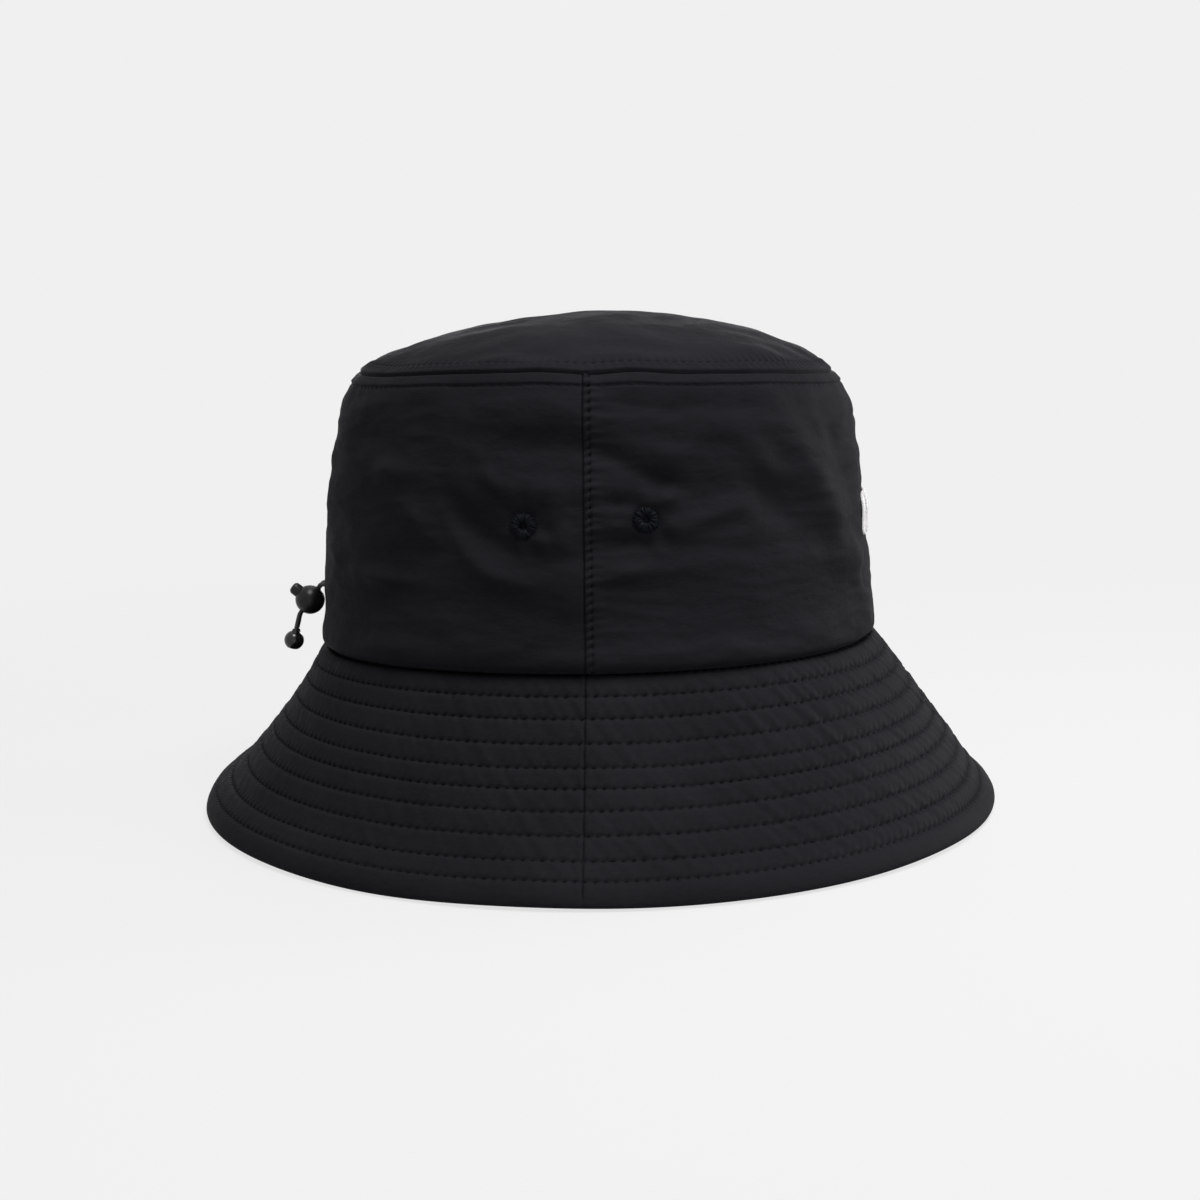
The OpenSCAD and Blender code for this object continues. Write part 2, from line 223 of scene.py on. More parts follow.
def wall_surface(t, h):
    """A point on the wall, h mm above the brim seam."""
    u = ramp(h / wall_h)
    lead = (1 + np.cos(t)) / 2
    a = base_a - (lean + 1.3 - 1.7 * lead) * h / wall_h - (shoulder + 1.0 - 0.6 * lead) * u ** 10
    roll = ramp(1 - h / 2.6)
    tuck = 0.6 * np.clip(1 - h / 6, 0, 1.3) ** 2 + 2.4 * (1 - np.sqrt(1 - roll ** 2))
    side = np.sin(t) ** 2
    swell = (0.35 + 1.35 * side) * bell(h - 2.5, 6.5) - 1.5 * (1 - lead) ** 12 * bell(h - 8, 14)
    z = brim_h + h + hang(t, u) + seam_wave(t) * u ** 5
    return on_oval(a - tuck + swell, t, z)


def tip_surface(t, v):
    """A point on the tip; v is 0 at its seam and 1 at its top."""
    s = ramp(1 - v)
    p = wall_surface(t, np.full_like(s, wall_h))
    power = 1.9 + 0.08 * (1 + np.cos(t))
    p[..., 2] = seam_z + tip_rise * (1 - 0.2 * s ** 8 - 0.8 * s ** power) + (p[..., 2] - seam_z) * s ** 4
    p[..., 0] = p[..., 0] * s + 1.4 * (1 - s * s)
    p[..., 1] *= s
    return p


# %% [markdown]
# The brim falls at about half a right angle, flares near its edge and then
# curls down. Its section is drawn by the angle of the cloth at a few places
# from the crown outwards, once for the front and once for the back, and added
# up step by step. At the edge the cloth turns round the stiff core in a half
# circle: the top cloth takes the upper quarter, the under cloth the lower one.

# %% Brim section
edge_r = (2 * cloth_t + core_t) / 2
tuck_in = 1.2        # cloth that runs on under the crown
quarter = edge_r * math.pi / 2


def brim_section(places, falls):
    """Outward and downward path of the top cloth from the crown, and its angle."""
    w = np.linspace(0, slope, 600)
    fall = np.radians(np.interp(w / slope, places, falls))
    fall = np.convolve(np.pad(fall, 20, mode="edge"), np.ones(41) / 41, mode="valid")
    out = running(np.cos(fall[1:]) * np.diff(w))
    down = running(np.sin(fall[1:]) * np.diff(w))
    out *= (edge_a - root_a - 0.25) / out[-1]
    down *= (brim_h - edge_r * (1 + math.cos(fall[-1])) - 0.05) / down[-1]
    return w, out, down, np.arctan2(np.gradient(down), np.gradient(out))


front_section = brim_section([0, 0.3, 0.6, 0.75, 0.85, 0.93, 1], [57, 58, 58, 61, 59, 40, 58])
back_section = brim_section([0, 0.15, 0.4, 0.6, 0.75, 0.85, 0.93, 1], [67, 70, 58, 54, 52, 35, 50, 79])


def section_at(section, w, depth):
    """The section's path at distance w, depth mm under the top cloth's face."""
    ws, outs, downs, falls = section
    inside = np.clip(w, 0, slope)
    fall = np.interp(inside, ws, falls)
    out = np.interp(inside, ws, outs) + np.minimum(w, 0) * np.cos(fall)
    down = np.interp(inside, ws, downs) + np.minimum(w, 0) * np.sin(fall)
    turn = np.clip(w - slope, 0, quarter) / edge_r
    lower = 1.0 if depth > edge_r else -1.0
    along = edge_r * np.sin(turn)
    inward = depth - lower * edge_r * (1 - np.cos(turn)) * (1.0 if depth in (0.0, 2 * edge_r) else 0.0)
    out = out + along * np.cos(fall) - inward * np.sin(fall)
    down = down + along * np.sin(fall) + inward * np.cos(fall)
    return out, down


def brim_surface(t, v, depth=0.0):
    """A point on the brim; v is 0 at the edge's seam and grows up the slope."""
    w = slope + quarter - v
    lead = (1 + np.cos(t)) / 2
    out_f, down_f = section_at(front_section, w, depth)
    out_b, down_b = section_at(back_section, w, depth)
    out = lead * out_f + (1 - lead) * out_b
    down = lead * down_f + (1 - lead) * down_b
    reach = np.clip(w / slope, 0, 1.1) ** 2
    lift = 0.25 * lead * np.cos(t) ** 2
    lift = lift + 0.2 * (1 + np.sin(7 * t + 0.5)) + 0.1 * (1 + np.sin(11 * t + 2))
    root = (hang(t, 0.0) + sag(t)) * np.clip(1 - w / slope, 0, 1.05)
    root = root - sag(t) * np.clip(1 - w / 26, 0, 1.05)
    under = 1.5 * bell(w - 0.3, 1.1) + 0.5 * bell(w - 1, 4)          # a groove under the crown
    under = under + 0.3 * sag(t) * ramp(1 - w / 16)
    return on_oval(root_a + out - under, t, brim_h - down + lift * reach + root)


print("lowest point of the brim edge:", brim_surface(angles, 0 * angles + quarter)[:, 2].min().round(2), "mm")

# %% [markdown]
# ## Cloth
# Each panel starts as a flat grid, as cloth is before it is sewn. Its columns
# run round the hat and its lines up the cloth, closer together where a row of
# stitches or a seam needs them. The grid is laid on its surface, pushed along
# the surface's normal by the panel's relief, and Solidify gives it the cloth's
# thickness. Its UV map is in millimetres, so a weave has the same size on
# every panel. A cloth simulation was the other way: it is slower, and seams
# and stitch rows can't be placed in it.

# %% Helpers for cloth
def activate(*pieces):
    """Select only these pieces; the first of them becomes active."""
    if bpy.context.object and bpy.context.object.mode != "OBJECT":
        bpy.ops.object.mode_set(mode="OBJECT")
    bpy.ops.object.select_all(action="DESELECT")
    for piece in pieces:
        piece.select_set(True)
        bpy.context.view_layer.objects.active = pieces[0]


def edit(work=None, select="SELECT"):
    """Do some work on the active piece in edit mode."""
    bpy.ops.object.mode_set(mode="EDIT")
    if select:
        bpy.ops.mesh.select_all(action=select)
    if work:
        work()
    bpy.ops.object.mode_set(mode="OBJECT")


def modify(obj, kind, **settings):
    """Apply a modifier to a piece."""
    modifier = obj.modifiers.new("shape", kind)
    for key, value in settings.items():
        setattr(modifier, key, value)
    activate(obj)
    bpy.ops.object.modifier_apply(modifier=modifier.name)


def join(name, *parts):
    activate(*parts)
    bpy.ops.object.join()
    parts[0].name = parts[0].data.name = name
    return parts[0]


def points_of(mesh):
    co = np.empty(len(mesh.vertices) * 3)
    mesh.vertices.foreach_get("co", co)
    return co.reshape(-1, 3)


def unit(way):
    return way / np.linalg.norm(way, axis=-1, keepdims=True)


def spaced(low, high, count, centres=(), width=1.5, crowd=3.0):
    """Places from low to high, crowded round the centres."""
    x = np.linspace(low, high, 6000)
    density = np.ones_like(x)
    for c in centres:
        density += crowd * bell(x - c, width)
    total = running((density[1:] + density[:-1]) / 2)
    return np.interp(np.linspace(0, total[-1], count + 1), total, x)


def ripple(points, size, stretch=(1, 1, 1), seed=0.0):
    """Smooth noise from -1 to 1 that changes over about size mm."""
    spots = (points / (size * np.array(stretch)) + seed).reshape(-1, 3).tolist()
    return np.array([noise.noise(s) for s in spots]).reshape(points.shape[:-1])


def on_cloth(surface, relief, t, v, out=0.0):
    """Points of a cloth with its relief, and the cloth's normals."""
    base = surface(t, v)
    e = 1e-3
    round_way = surface(t + e, v) - surface(t - e, v)
    up_way = surface(t, v + e) - surface(t, v - e)
    normal = np.cross(round_way, up_way)
    length = np.linalg.norm(normal, axis=-1, keepdims=True)
    normal = np.where(length > 1e-12, normal / np.maximum(length, 1e-12), [0, 0, 1])
    return base + normal * (relief(t, v, base) + out)[..., None], normal


def dress(obj, slot, body="hat", node=None):
    """Hang a finished piece on its body, and name the finish it takes."""
    if node:
        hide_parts(node)
    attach(obj, body)
    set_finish(obj, slot)
    triangles = sum(len(p.vertices) - 2 for p in obj.data.polygons)
    print(f"{obj.name}: {triangles} triangles, finish {slot}")


def panel(name, ts, vs, surface, relief, thickness, uv_of=None, close=False, lined=False):
    """A panel of cloth, laid on a surface and given its thickness; where it is
    lined, only its edges are thick, because its wrong side is never seen."""
    activate()
    columns, lines = len(ts) - 1, len(vs) - 1
    bpy.ops.mesh.primitive_grid_add(x_subdivisions=columns, y_subdivisions=lines, size=2)
    obj = bpy.context.object
    obj.name = obj.data.name = name
    mesh = obj.data
    flat = points_of(mesh)
    i = np.rint((flat[:, 0] + 1) / 2 * columns).astype(int)
    j = np.rint((flat[:, 1] + 1) / 2 * lines).astype(int)
    t, v = ts[i], vs[j]
    points, _ = on_cloth(surface, relief, t, v)
    mesh.vertices.foreach_set("co", (points * MM).ravel())
    uv = np.stack([share(t) * girth(base_a), v], -1) if uv_of is None else uv_of(t, v, points)
    corners = np.empty(len(mesh.loops), int)
    mesh.loops.foreach_get("vertex_index", corners)
    mesh.uv_layers.active.data.foreach_set("uv", uv[corners].ravel())
    mesh.update()
    if close:
        edit(lambda: bpy.ops.mesh.remove_doubles(threshold=2e-6))
    if thickness:
        modify(obj, "SOLIDIFY", thickness=thickness * MM, offset=-1, use_rim_only=lined)
    bpy.ops.object.shade_smooth_by_angle(angle=math.radians(60))
    return obj


FRONT, BACK, WHOLE = (-math.pi / 2, math.pi / 2), (math.pi / 2, 3 * math.pi / 2), (-math.pi, math.pi)
HALVES = (("front", FRONT), ("back", BACK))


def columns_of(part, count, near_seams=0.0):
    """Angles across a part of the hat, evenly spaced by length of cloth."""
    low, high = share(np.array(part[0])), share(np.array(part[1]))
    size = girth(base_a)
    ends = () if not near_seams else (low * size, high * size)
    return angle_at(spaced(low * size, high * size, count, ends, 3.5, near_seams) / size)

# %% [markdown]
# ## Rows of stitches
# A lockstitch shows as a row of short threads that dip into the cloth at each
# needle hole. The holes are set out first, as whole numbers round the oval, and
# the panels' reliefs and the threads both use them, so each thread lies in its
# own dimple. One stitch is extruded from a six-sided disc, and then copied.

# %% Needle holes and one stitch
brim_rows = [1.2, 8.9, 16.6, 25.0, 33.1, 40.1, 47.5, 55.6, 63.8, 70.6]    # mm down from the crown
brim_pitch, rim_pitch, side_pitch, band_pitch = 3.2, 3.1, 2.75, 3.0       # from hole to hole
thread_d, pattern_d, thread_out = 0.42, 0.44, 0.12


def holes_round(a, pitch=brim_pitch):
    return round(girth(a) / pitch)


def needle(position):
    """1 at each needle hole, 0 between; position counts the holes."""
    return (0.5 + 0.5 * np.cos(TURN * position)) ** 3


def round_row(count, first=0):
    """The angles of a whole row of needle holes."""
    return angle_at((np.arange(count + 1) + first) / count)


def row_a(w):
    return root_a + (edge_a - root_a) * w / slope


def short_thread(name, radius, steps, rise):
    """A thread 1 mm long along X, extruded from a six-sided disc and then bent."""
    activate()
    bpy.ops.mesh.primitive_circle_add(vertices=6, radius=radius * MM, fill_type="NGON",
                                      location=(-0.5 * MM, 0, 0), rotation=(0, math.pi / 2, 0))
    obj = bpy.context.object
    bpy.ops.object.transform_apply(location=True, rotation=True, scale=True)

    def draw_out():
        for step, size in steps:
            bpy.ops.mesh.extrude_region_move(TRANSFORM_OT_translate={"value": (step * MM, 0, 0)})
            bpy.ops.transform.resize(value=(1, size, size))
        bpy.ops.mesh.select_all(action="SELECT")
        bpy.ops.mesh.normals_make_consistent(inside=False)

    edit(draw_out)
    for v in obj.data.vertices:
        v.co.z += MM * rise(v.co.x / MM)
    obj.name = name
    return obj


stitch = short_thread("one_stitch", 0.1, ((0.12, 1.9), (0.2, 1.15), (0.36, 1.0), (0.2, 0.87), (0.12, 0.52)),
                      lambda x: -3.52 * x ** 4)


def copies(name, pattern, places):
    """One mesh with a copy of the pattern at each 4 x 4 place, in mm."""
    mesh = pattern.data
    k = len(mesh.vertices)
    co = np.hstack([points_of(mesh) / MM, np.ones((k, 1))])
    places = np.concatenate(places)
    points = np.einsum("nij,kj->nki", places[:, :3, :], co).reshape(-1, 3) * MM
    faces = [tuple(p.vertices) for p in mesh.polygons]
    joined = bpy.data.meshes.new(name)
    joined.from_pydata(points.tolist(), [], [tuple(v + n * k for v in f)
                                             for n in range(len(places)) for f in faces])
    joined.polygons.foreach_set("use_smooth", [True] * len(joined.polygons))
    joined.update()
    obj = bpy.data.objects.new(name, joined)
    bpy.context.collection.objects.link(obj)
    return obj


def seat(origin, along, normal, size=(1, 1, 1)):
    """Places for copies: X along, Z out of the cloth."""
    along = along - normal * (along * normal).sum(-1, keepdims=True)
    x = unit(along)
    y = np.cross(normal, x)
    places = np.zeros(origin.shape[:-1] + (4, 4))
    for axis, column, scale in ((0, x, size[0]), (1, y, size[1]), (2, normal, size[2])):
        places[..., :3, axis] = column * np.asarray(scale)[..., None]
    places[..., :3, 3] = origin
    places[..., 3, 3] = 1
    return places


def sew(surface, relief, t, v, out=thread_out, side=1):
    """Places of the stitches between neighbouring needle holes of one row;
    side is -1 where the row shows on the cloth's wrong side."""
    points, normals = on_cloth(surface, relief, t, np.zeros_like(t) + v, out)
    normals = normals * side
    along = points[1:] - points[:-1]
    normal = unit(normals[1:] + normals[:-1])
    length = np.linalg.norm(along, axis=-1) * 0.9
    wide = np.full_like(length, thread_d / pattern_d)
    return seat((points[1:] + points[:-1]) / 2, along, normal, (length, wide, wide))

# %% [markdown]
# ## The crown
# Two halves of nylon meet in a side seam; the seam allowance is pressed to the
# front and held by one row of stitches, which leaves a ridge and small puckers.
# Below the tip another row holds the allowance of the tip seam. Between them
# the cloth hangs in a few large soft folds. They are placed one by one: each is
# a long bell that is raised or pressed in, given by its place from the side
# seam, its length, width, slant and height.

# %% Folds of the crown
RIGHT, LEFT = -1, 1
folds = [
    # side, from seam, up, half length, half width, slant, bend, height
    (RIGHT, -33, 42, 21, 4.6, -29, 4.2, -3.2),        # the hollow left of the vents, and its lip
    (RIGHT, -30, 30.5, 17, 3.0, -20, 5.0, 1.5),
    (RIGHT, -22, 72, 26, 5.5, -4, 0, -2.6),
    (RIGHT, -17, 58, 15, 4.6, -6, 0, 1.9),
    (RIGHT, -33, 62, 8, 3.0, -50, 0, 1.0),
    (RIGHT, -8, 46, 14, 4.0, -74, 0, 1.1),
    (RIGHT, -76, 63, 10, 3.6, -4, 0, 1.8),
    (RIGHT, -62, 48, 15, 4.2, -38, 0, 1.8),
    (RIGHT, -77, 28, 17, 3.0, -2, 0, 2.0),
    (RIGHT, -46, 22, 22, 4.0, 3, 0, -1.2),
    (RIGHT, -90, 74, 20, 8.0, 0, 0, -1.4),
    (RIGHT, -72, 5, 22, 5.0, 0, 0, 0.9),
    (RIGHT, -26, 9, 16, 4.5, 4, 0, 0.8),
    (RIGHT, 9, 68, 9, 3.0, -20, 0, -1.4),             # the dent that runs down from the seam
    (RIGHT, 27, 60, 10, 3.2, -18, 0, -2.4),
    (RIGHT, 28, 69, 13, 3.6, -6, 0, 1.9),
    (RIGHT, 13, 53, 5.5, 2.6, -12, 0, -1.8),
    (RIGHT, 28, 55, 5.5, 2.6, 16, 0, 1.7),
    (RIGHT, 43, 48, 17, 3.2, 18, 0, 2.1),
    (RIGHT, 13, 31.5, 9, 3.0, 4, 0, 2.4),
    (RIGHT, 16, 41, 12, 3.0, 0, 0, -1.9),
    (RIGHT, 38, 34, 18, 4.0, 7, 0, 1.0),
    (RIGHT, 36, 19, 20, 4.6, 2, 0, -1.5),
    (RIGHT, 37, 4, 26, 5.5, 1, 0, 1.3),
    (RIGHT, 20, 84, 18, 4.0, -3, 0, -1.0),
    (RIGHT, 48, 83, 18, 4.0, 2, 0, -1.0),
    (RIGHT, 62, 69, 13, 5.0, -42, 0, 1.2),
    (RIGHT, 70, 52, 16, 6.0, -36, 0, -1.9),
    (RIGHT, 94, 53, 30, 7.5, -59, 0, 2.7),            # the long crease towards the front
    (RIGHT, 107, 68, 20, 6.5, -76, 0, -1.6),
    (RIGHT, 114, 34, 24, 6.0, -72, 0, 1.3),
    (LEFT, -24, 58, 18, 8.0, 44, 0, -2.8),
    (LEFT, -28, 36, 20, 4.5, 18, 3, 2.0),
    (LEFT, -52, 44, 20, 5.0, 30, -2, -2.2),
    (LEFT, -62, 56, 22, 6.0, 50, 0, 1.9),
    (LEFT, -84, 40, 22, 6.0, 66, 0, -1.6),
    (LEFT, -74, 24, 18, 4.0, 4, 0, 1.6),
    (LEFT, 14, 62, 13, 4.2, -34, 0, -2.6),
    (LEFT, 26, 70, 15, 4.5, -12, 0, 1.7),
    (LEFT, 24, 36, 18, 4.2, -10, 2, 2.0),
    (LEFT, 38, 50, 20, 4.6, 14, 0, 1.8),
    (LEFT, 44, 20, 22, 4.6, -2, 0, -1.5),
    (LEFT, 40, 5, 26, 5.5, 1, 0, 1.2),
    (LEFT, 56, 62, 24, 6.0, 40, 0, -1.9),
    (LEFT, 84, 50, 30, 6.5, 62, 2, 2.7),
    (LEFT, 98, 44, 26, 5.5, 70, 0, -1.7),
    (LEFT, 110, 54, 26, 6.5, 78, 0, 1.5),
]
vent_h = centre("vent_eyelet_right_front").z - brim_h - 2.1
vent_d = 20.9        # from the side seam to a vent
side_row = 2.3       # from the side seam to its row of stitches
rim_row = 4.2        # from the tip seam to the rows on both sides of it
side_holes = round((wall_h - 3) / side_pitch)
rim_holes = holes_round(tip_a, rim_pitch)


def crown_folds(t, h, points):
    d = from_side(t)
    y = points[..., 1]
    total = np.zeros_like(d)
    for side, at, up, long, wide, slant, bend, height in folds:
        c, s = math.cos(math.radians(slant)), math.sin(math.radians(slant))
        x = (d - at) * c + (h - up) * s
        across = -(d - at) * s + (h - up) * c
        wave = bell(across - bend * np.clip(x / long, -1.5, 1.5) ** 2, wide)
        total += np.where(y * side > 0, 0.88 * height * bell(x, long) * wave, 0)
    return total


def tip_seam(x, groove, fold):
    """The groove of the tip seam and the fold of cloth behind it, x mm from the seam."""
    return fold * ramp((rim_row + 0.6 - x) / 1.2) * ramp(x / 0.6) - groove * bell(x, 0.5)


def crown_relief(t, h, points):
    d = from_side(t)
    top = wall_h - h
    hem = ramp(h / 6) * ramp(top / 11)
    back = share_once(t) % 1.0
    near_lock = bell(back * girth(base_a), 26) + bell((1 - back) * girth(base_a), 26)
    calm = 1 - ramp(near_lock) * bell(h - 14, 22)
    soft = crown_folds(t, h, points) + 1.0 * ripple(points, 34, seed=3.1) \
        + 1.2 * ripple(points, 15, (1.4, 1.4, 0.7), 7.7) + 0.3 * ripple(points, 7, (1.2, 1.2, 0.7), 2.7)
    crease = 0.5 * (0.5 - np.abs(ripple(points, 11, (1.8, 1.8, 0.6), 1.3)))
    crease = crease + 0.12 * ripple(points, 3.8, (2.2, 2.2, 0.6), 5.2)
    pressed = 0.3 + 0.7 * ramp((h - 24) / 14)
    soft = np.where(soft < 0, soft * pressed, soft)      # the sweatband holds the lower wall out
    r = hem * calm * soft + crease * (0.4 + 0.6 * hem)
    # side seam, its allowance and its row
    r = r - 0.5 * bell(d, 0.28) + 0.35 * ramp((6.5 - d) / 4) * ramp(d / 0.5)
    hole = needle((h - 0.5 * np.clip(d - side_row, -0.8, 0.8)) / side_pitch)
    r = r - bell(d - side_row, 0.5) * (0.22 + 0.65 * hole)
    rung = -np.cos(TURN * (h - 0.55 * np.minimum(d - side_row, 0)) / side_pitch)
    uneven = (0.75 + 1.1 * ripple(points, 8, seed=9.9)) * (0.2 + 1.2 * ramp(h / wall_h))
    r = r + rung * (0.32 * bell(d - 1.2, 1.1) + 0.18 * uneven * bell(d - 4.0, 2.6)) * ramp(d / 0.5)
    r = r + 0.45 * ripple(points, 4.2, (4, 4, 0.6), 4.4) * bell(d - 6, 9) * ramp(d / 2)
    # tip seam and the row below it
    turn = share(t) * rim_holes
    r = r + tip_seam(top, 0.8, 0.5) - bell(top - rim_row, 0.5) * (0.35 + 0.35 * needle(turn))
    r = r + 0.08 * np.cos(TURN * turn + 0.5) * bell(top - rim_row, 1.2)
    r = r - 0.15 * np.clip(rim_row - 0.6 - top, 0, 4)
    r = r + 0.4 * ripple(points, 7, (1, 1, 3), 2.2) * bell(top - 7, 6)
    # hollows and rays round the vents
    for way in (-1, 1):
        x, y = d - way * vent_d, h - vent_h - 0.4
        far = np.hypot(x, y)
        flat = np.exp(-((far / 5.2) ** 6))
        r = r * (1 - flat) - 0.9 * bell(far, 8) - 0.2 * flat
        r = r + 0.35 * np.cos(7 * np.arctan2(y, x) + 1.3 * way) * bell(far - 9, 2.8)
    return r


# %% Crown halves
crown_lines = spaced(-0.8, wall_h, 224, (0, wall_h - rim_row, wall_h), 1.8, 1.5)
for name, part in HALVES:
    obj = panel(f"crown_cloth_{name}", columns_of(part, 420, 2.5), crown_lines, wall_surface, crown_relief,
                face_t, lined=True)
    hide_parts(f"crown_{name}")
    dress(obj, "crown_cloth")

# %% [markdown]
# The tip is one oval piece. It was sewn on with a little ease, so its rim
# ripples where the threads draw it in, and it sinks slightly in the middle
# ground between rim and top.

# %% Tip
tip_mean = tip_a - oval / 2      # from the tip seam to the middle


def tip_relief(t, v, points):
    inward = v * tip_mean
    r = 0.9 * ripple(points, 30, seed=6.3) * ramp(inward / 18)
    r = r + 0.7 * ripple(points, 13, seed=2.9) * ramp(inward / 12)
    r = r + 0.06 * ripple(points, 3.5, seed=8.1) + tip_seam(inward, 0.75, 0.45)
    turn = share(t) * rim_holes
    r = r - bell(inward - rim_row, 0.5) * (0.3 + 0.35 * needle(turn + 0.5))
    r = r + 0.16 * np.cos(TURN * turn) * bell(inward - rim_row, 2.2)
    return r + 1.3 * ripple(points, 11, (1.5, 1, 3), 4.6) * bell(inward - 9, 6)


def flat_uv(t, v, points):
    return points[:, :2]


tip_lines = spaced(0, 1, 90, (0, rim_row / tip_mean), 0.03, 5.0)
tip = panel("tip_cloth", columns_of(WHOLE, 960), tip_lines, tip_surface, tip_relief, face_t,
            uv_of=flat_uv, close=True, lined=True)
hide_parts("crown_tip")
dress(tip, "crown_cloth")

# %% Threads of the crown
places = [sew(wall_surface, crown_relief, round_row(rim_holes), wall_h - rim_row),
          sew(tip_surface, tip_relief, round_row(rim_holes, 0.5), rim_row / tip_mean)]
for seam, toward in ((0.25, 1), (0.75, -1)):
    hole_h = side_pitch * np.arange(1, side_holes)
    side_t = angle_at(np.full_like(hole_h, seam + side_row / girth(base_a) * toward))
    places.append(sew(wall_surface, crown_relief, side_t, hole_h))
dress(copies("crown_stitches", stitch, places), "thread")

# %% [markdown]
# ## The brim
# Top and under cloth hold a stiff core between them, quilted together by ten
# rows of stitches about eight millimetres apart. The cloth swells a little
# between the rows and is drawn in along them. Nylon is cut round the brim partly
# on the bias, so fine puckers run aslant from row to row, most at the front.

# %% Brim relief
row_holes = [holes_round(row_a(w)) for w in brim_rows]


def brim_relief(t, v, points, deep=1.0):
    w = slope + quarter - v
    s = share(t)
    way = np.where(np.sin(t) < 0, 1, -1)             # the slant mirrors from side to side
    d = from_side(t, row_a(40))
    r = np.zeros_like(w)
    last = 0.0
    edges = brim_rows + [slope + 1.0]
    for here, after in zip(edges[:-1], edges[1:]):
        x = ramp((w - here) / (after - here))
        height = 0.62 if after < slope else 0.35
        r = r + height * np.sin(math.pi * x ** 0.8) ** 0.7 * (x > 0) * (x < 1)
    for w_row, count in zip(brim_rows, row_holes):
        away = w - w_row
        turn = s * count * way
        hole = needle(turn + 0.42 * np.clip(away, -1.0, 1.0))
        r = r - deep * bell(away, 0.55) * (0.2 + 0.5 * hole)
        swing = np.cos(TURN * (turn + 0.22 * away))
        r = r - 0.2 * deep * swing * bell(away + 1.0, 1.6) * (0.75 + 0.25 * np.cos(t))
        r = r + 0.22 * deep * bell(away - 1.5, 0.8)
    quilted = ramp(w / 6) * ramp((slope - 7 - w) / 4)
    ahead = 0.6 + 0.4 * np.cos(t)
    slant = s * girth(row_a(40)) * way
    place = np.stack([slant - 0.75 * w, 0.16 * (w + 0.4 * slant), 0 * w + 3 * np.sign(np.sin(t))], -1)
    pucker = ripple(place, 4.4, seed=1.7) + 0.6 * ripple(place, 2.2, seed=6.1)
    r = r + deep * (0.13 + 0.36 * ahead) * pucker * quilted
    r = r + 0.5 * ripple(points, 26, seed=5.5) * ramp(w / 15) + 0.05 * ripple(points, 3, seed=2.5)
    r = r - 0.5 * bell(d, 0.27) + 0.12 * bell(np.abs(d) - 1.3, 0.8)
    # the turned edge is smooth
    return np.maximum(r, -0.85) * ramp((slope - w) / 2.5) ** 0.5


def under_surface(t, v):
    return brim_surface(t, v, 2 * edge_r)


def flip_relief(t, v, points):
    return -brim_relief(t, v, points, 0.7)


# %% Brim cloths
brim_length = slope + quarter + tuck_in
row_lines = [slope + quarter - w for w in brim_rows] + [0.5]
brim_top_lines = spaced(0, brim_length, 104, row_lines, 1.1, 2.6)
brim_under_lines = spaced(0, brim_length, 64, row_lines, 1.1, 2.6)
for name, part in HALVES:
    top = panel(f"brim_top_cloth_{name}", columns_of(part, 900, 0.6), brim_top_lines, brim_surface,
                brim_relief, face_t, lined=True)
    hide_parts(f"brim_top_{name}")
    under = panel(f"brim_under_cloth_{name}", columns_of(part, 420, 1.0), brim_under_lines, under_surface,
                  flip_relief, 0)
    edit(bpy.ops.mesh.flip_normals)
    modify(under, "SOLIDIFY", thickness=face_t * MM, offset=-1)
    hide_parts(f"brim_under_{name}")
    for obj in (top, under):
        dress(obj, "brim_cloth")

# %% Stiff core
for name, part in HALVES:
    core = panel(f"stiffener_{name}", columns_of(part, 180), spaced(quarter + 0.3, slope + quarter, 36),
                 lambda t, v: brim_surface(t, v, edge_r - core_t / 2), lambda t, v, p: 0 * t - 0.05, core_t)
    dress(core, "core", node=f"brim_core_{name}")

# %% Threads of the brim
for label, surface, relief, side in (("top", brim_surface, brim_relief, 1),
                                     ("under", under_surface, flip_relief, -1)):
    places = []
    for w_row, count in zip(brim_rows[1:], row_holes[1:]):      # the first row is under the crown
        places.append(sew(surface, relief, round_row(count), slope + quarter - w_row, 0.13 * side, side))
    dress(copies(f"brim_{label}_stitches", stitch, places), "thread")

# %% [markdown]
# ## Inside the crown
# The lining is thin and smooth, a little too large, so it lies in loose
# ripples. The sweatband is a ribbed tape against the forehead; it hides the
# drawcord, which lifts it in a low welt all round, and it is held by rows of
# stitches.

# %% Linings
lining_gap = cloth_t + 0.15      # from the face of the outer cloth to the lining


def lining_relief(t, h, points):
    loose = ramp((h - 34) / 14) * ramp((wall_h - 2 - h) / 10)
    r = np.minimum(crown_relief(t, h, points), 0) - lining_gap
    r = r + loose * (0.5 * ripple(points, 22, seed=4.2) - 0.55)
    return r + 0.04 * ripple(points, 5, seed=3.3) + 0.5 * bell(from_side(t), 0.6)


def tip_lining_relief(t, v, points):
    inward = v * tip_mean
    return (0.45 * ripple(points, 24, seed=9.2) * ramp(inward / 14)
            - lining_gap - 0.5 * ramp(inward / 16))


for name, part in HALVES:
    obj = panel(f"lining_cloth_{name}", columns_of(part, 170, 1.5), spaced(0.5, wall_h, 44, (wall_h,), 3, 2),
                wall_surface, lining_relief, 0.4)
    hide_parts(f"lining_{name}")
    dress(obj, "lining")
tip_lining = panel("tip_lining_cloth", columns_of(WHOLE, 260), spaced(0, 1, 26, (0,), 0.06, 2), tip_surface,
                   tip_lining_relief, 0.4, uv_of=flat_uv, close=True)
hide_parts("tip_lining")
dress(tip_lining, "lining")

# %% Sweatband
band_low, band_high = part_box("sweatband")
band_h = (band_high.z - band_low.z) / MM
band_t = 0.9
cord_h = centre("cord_eyelet_left").z - brim_h
band_rows = [3.0, cord_h - 3.2, cord_h + 3.2, band_h - 3.0]


def band_surface(t, h):
    return wall_surface(t, h - hang(t, h / wall_h))      # level, as the head and the cord are


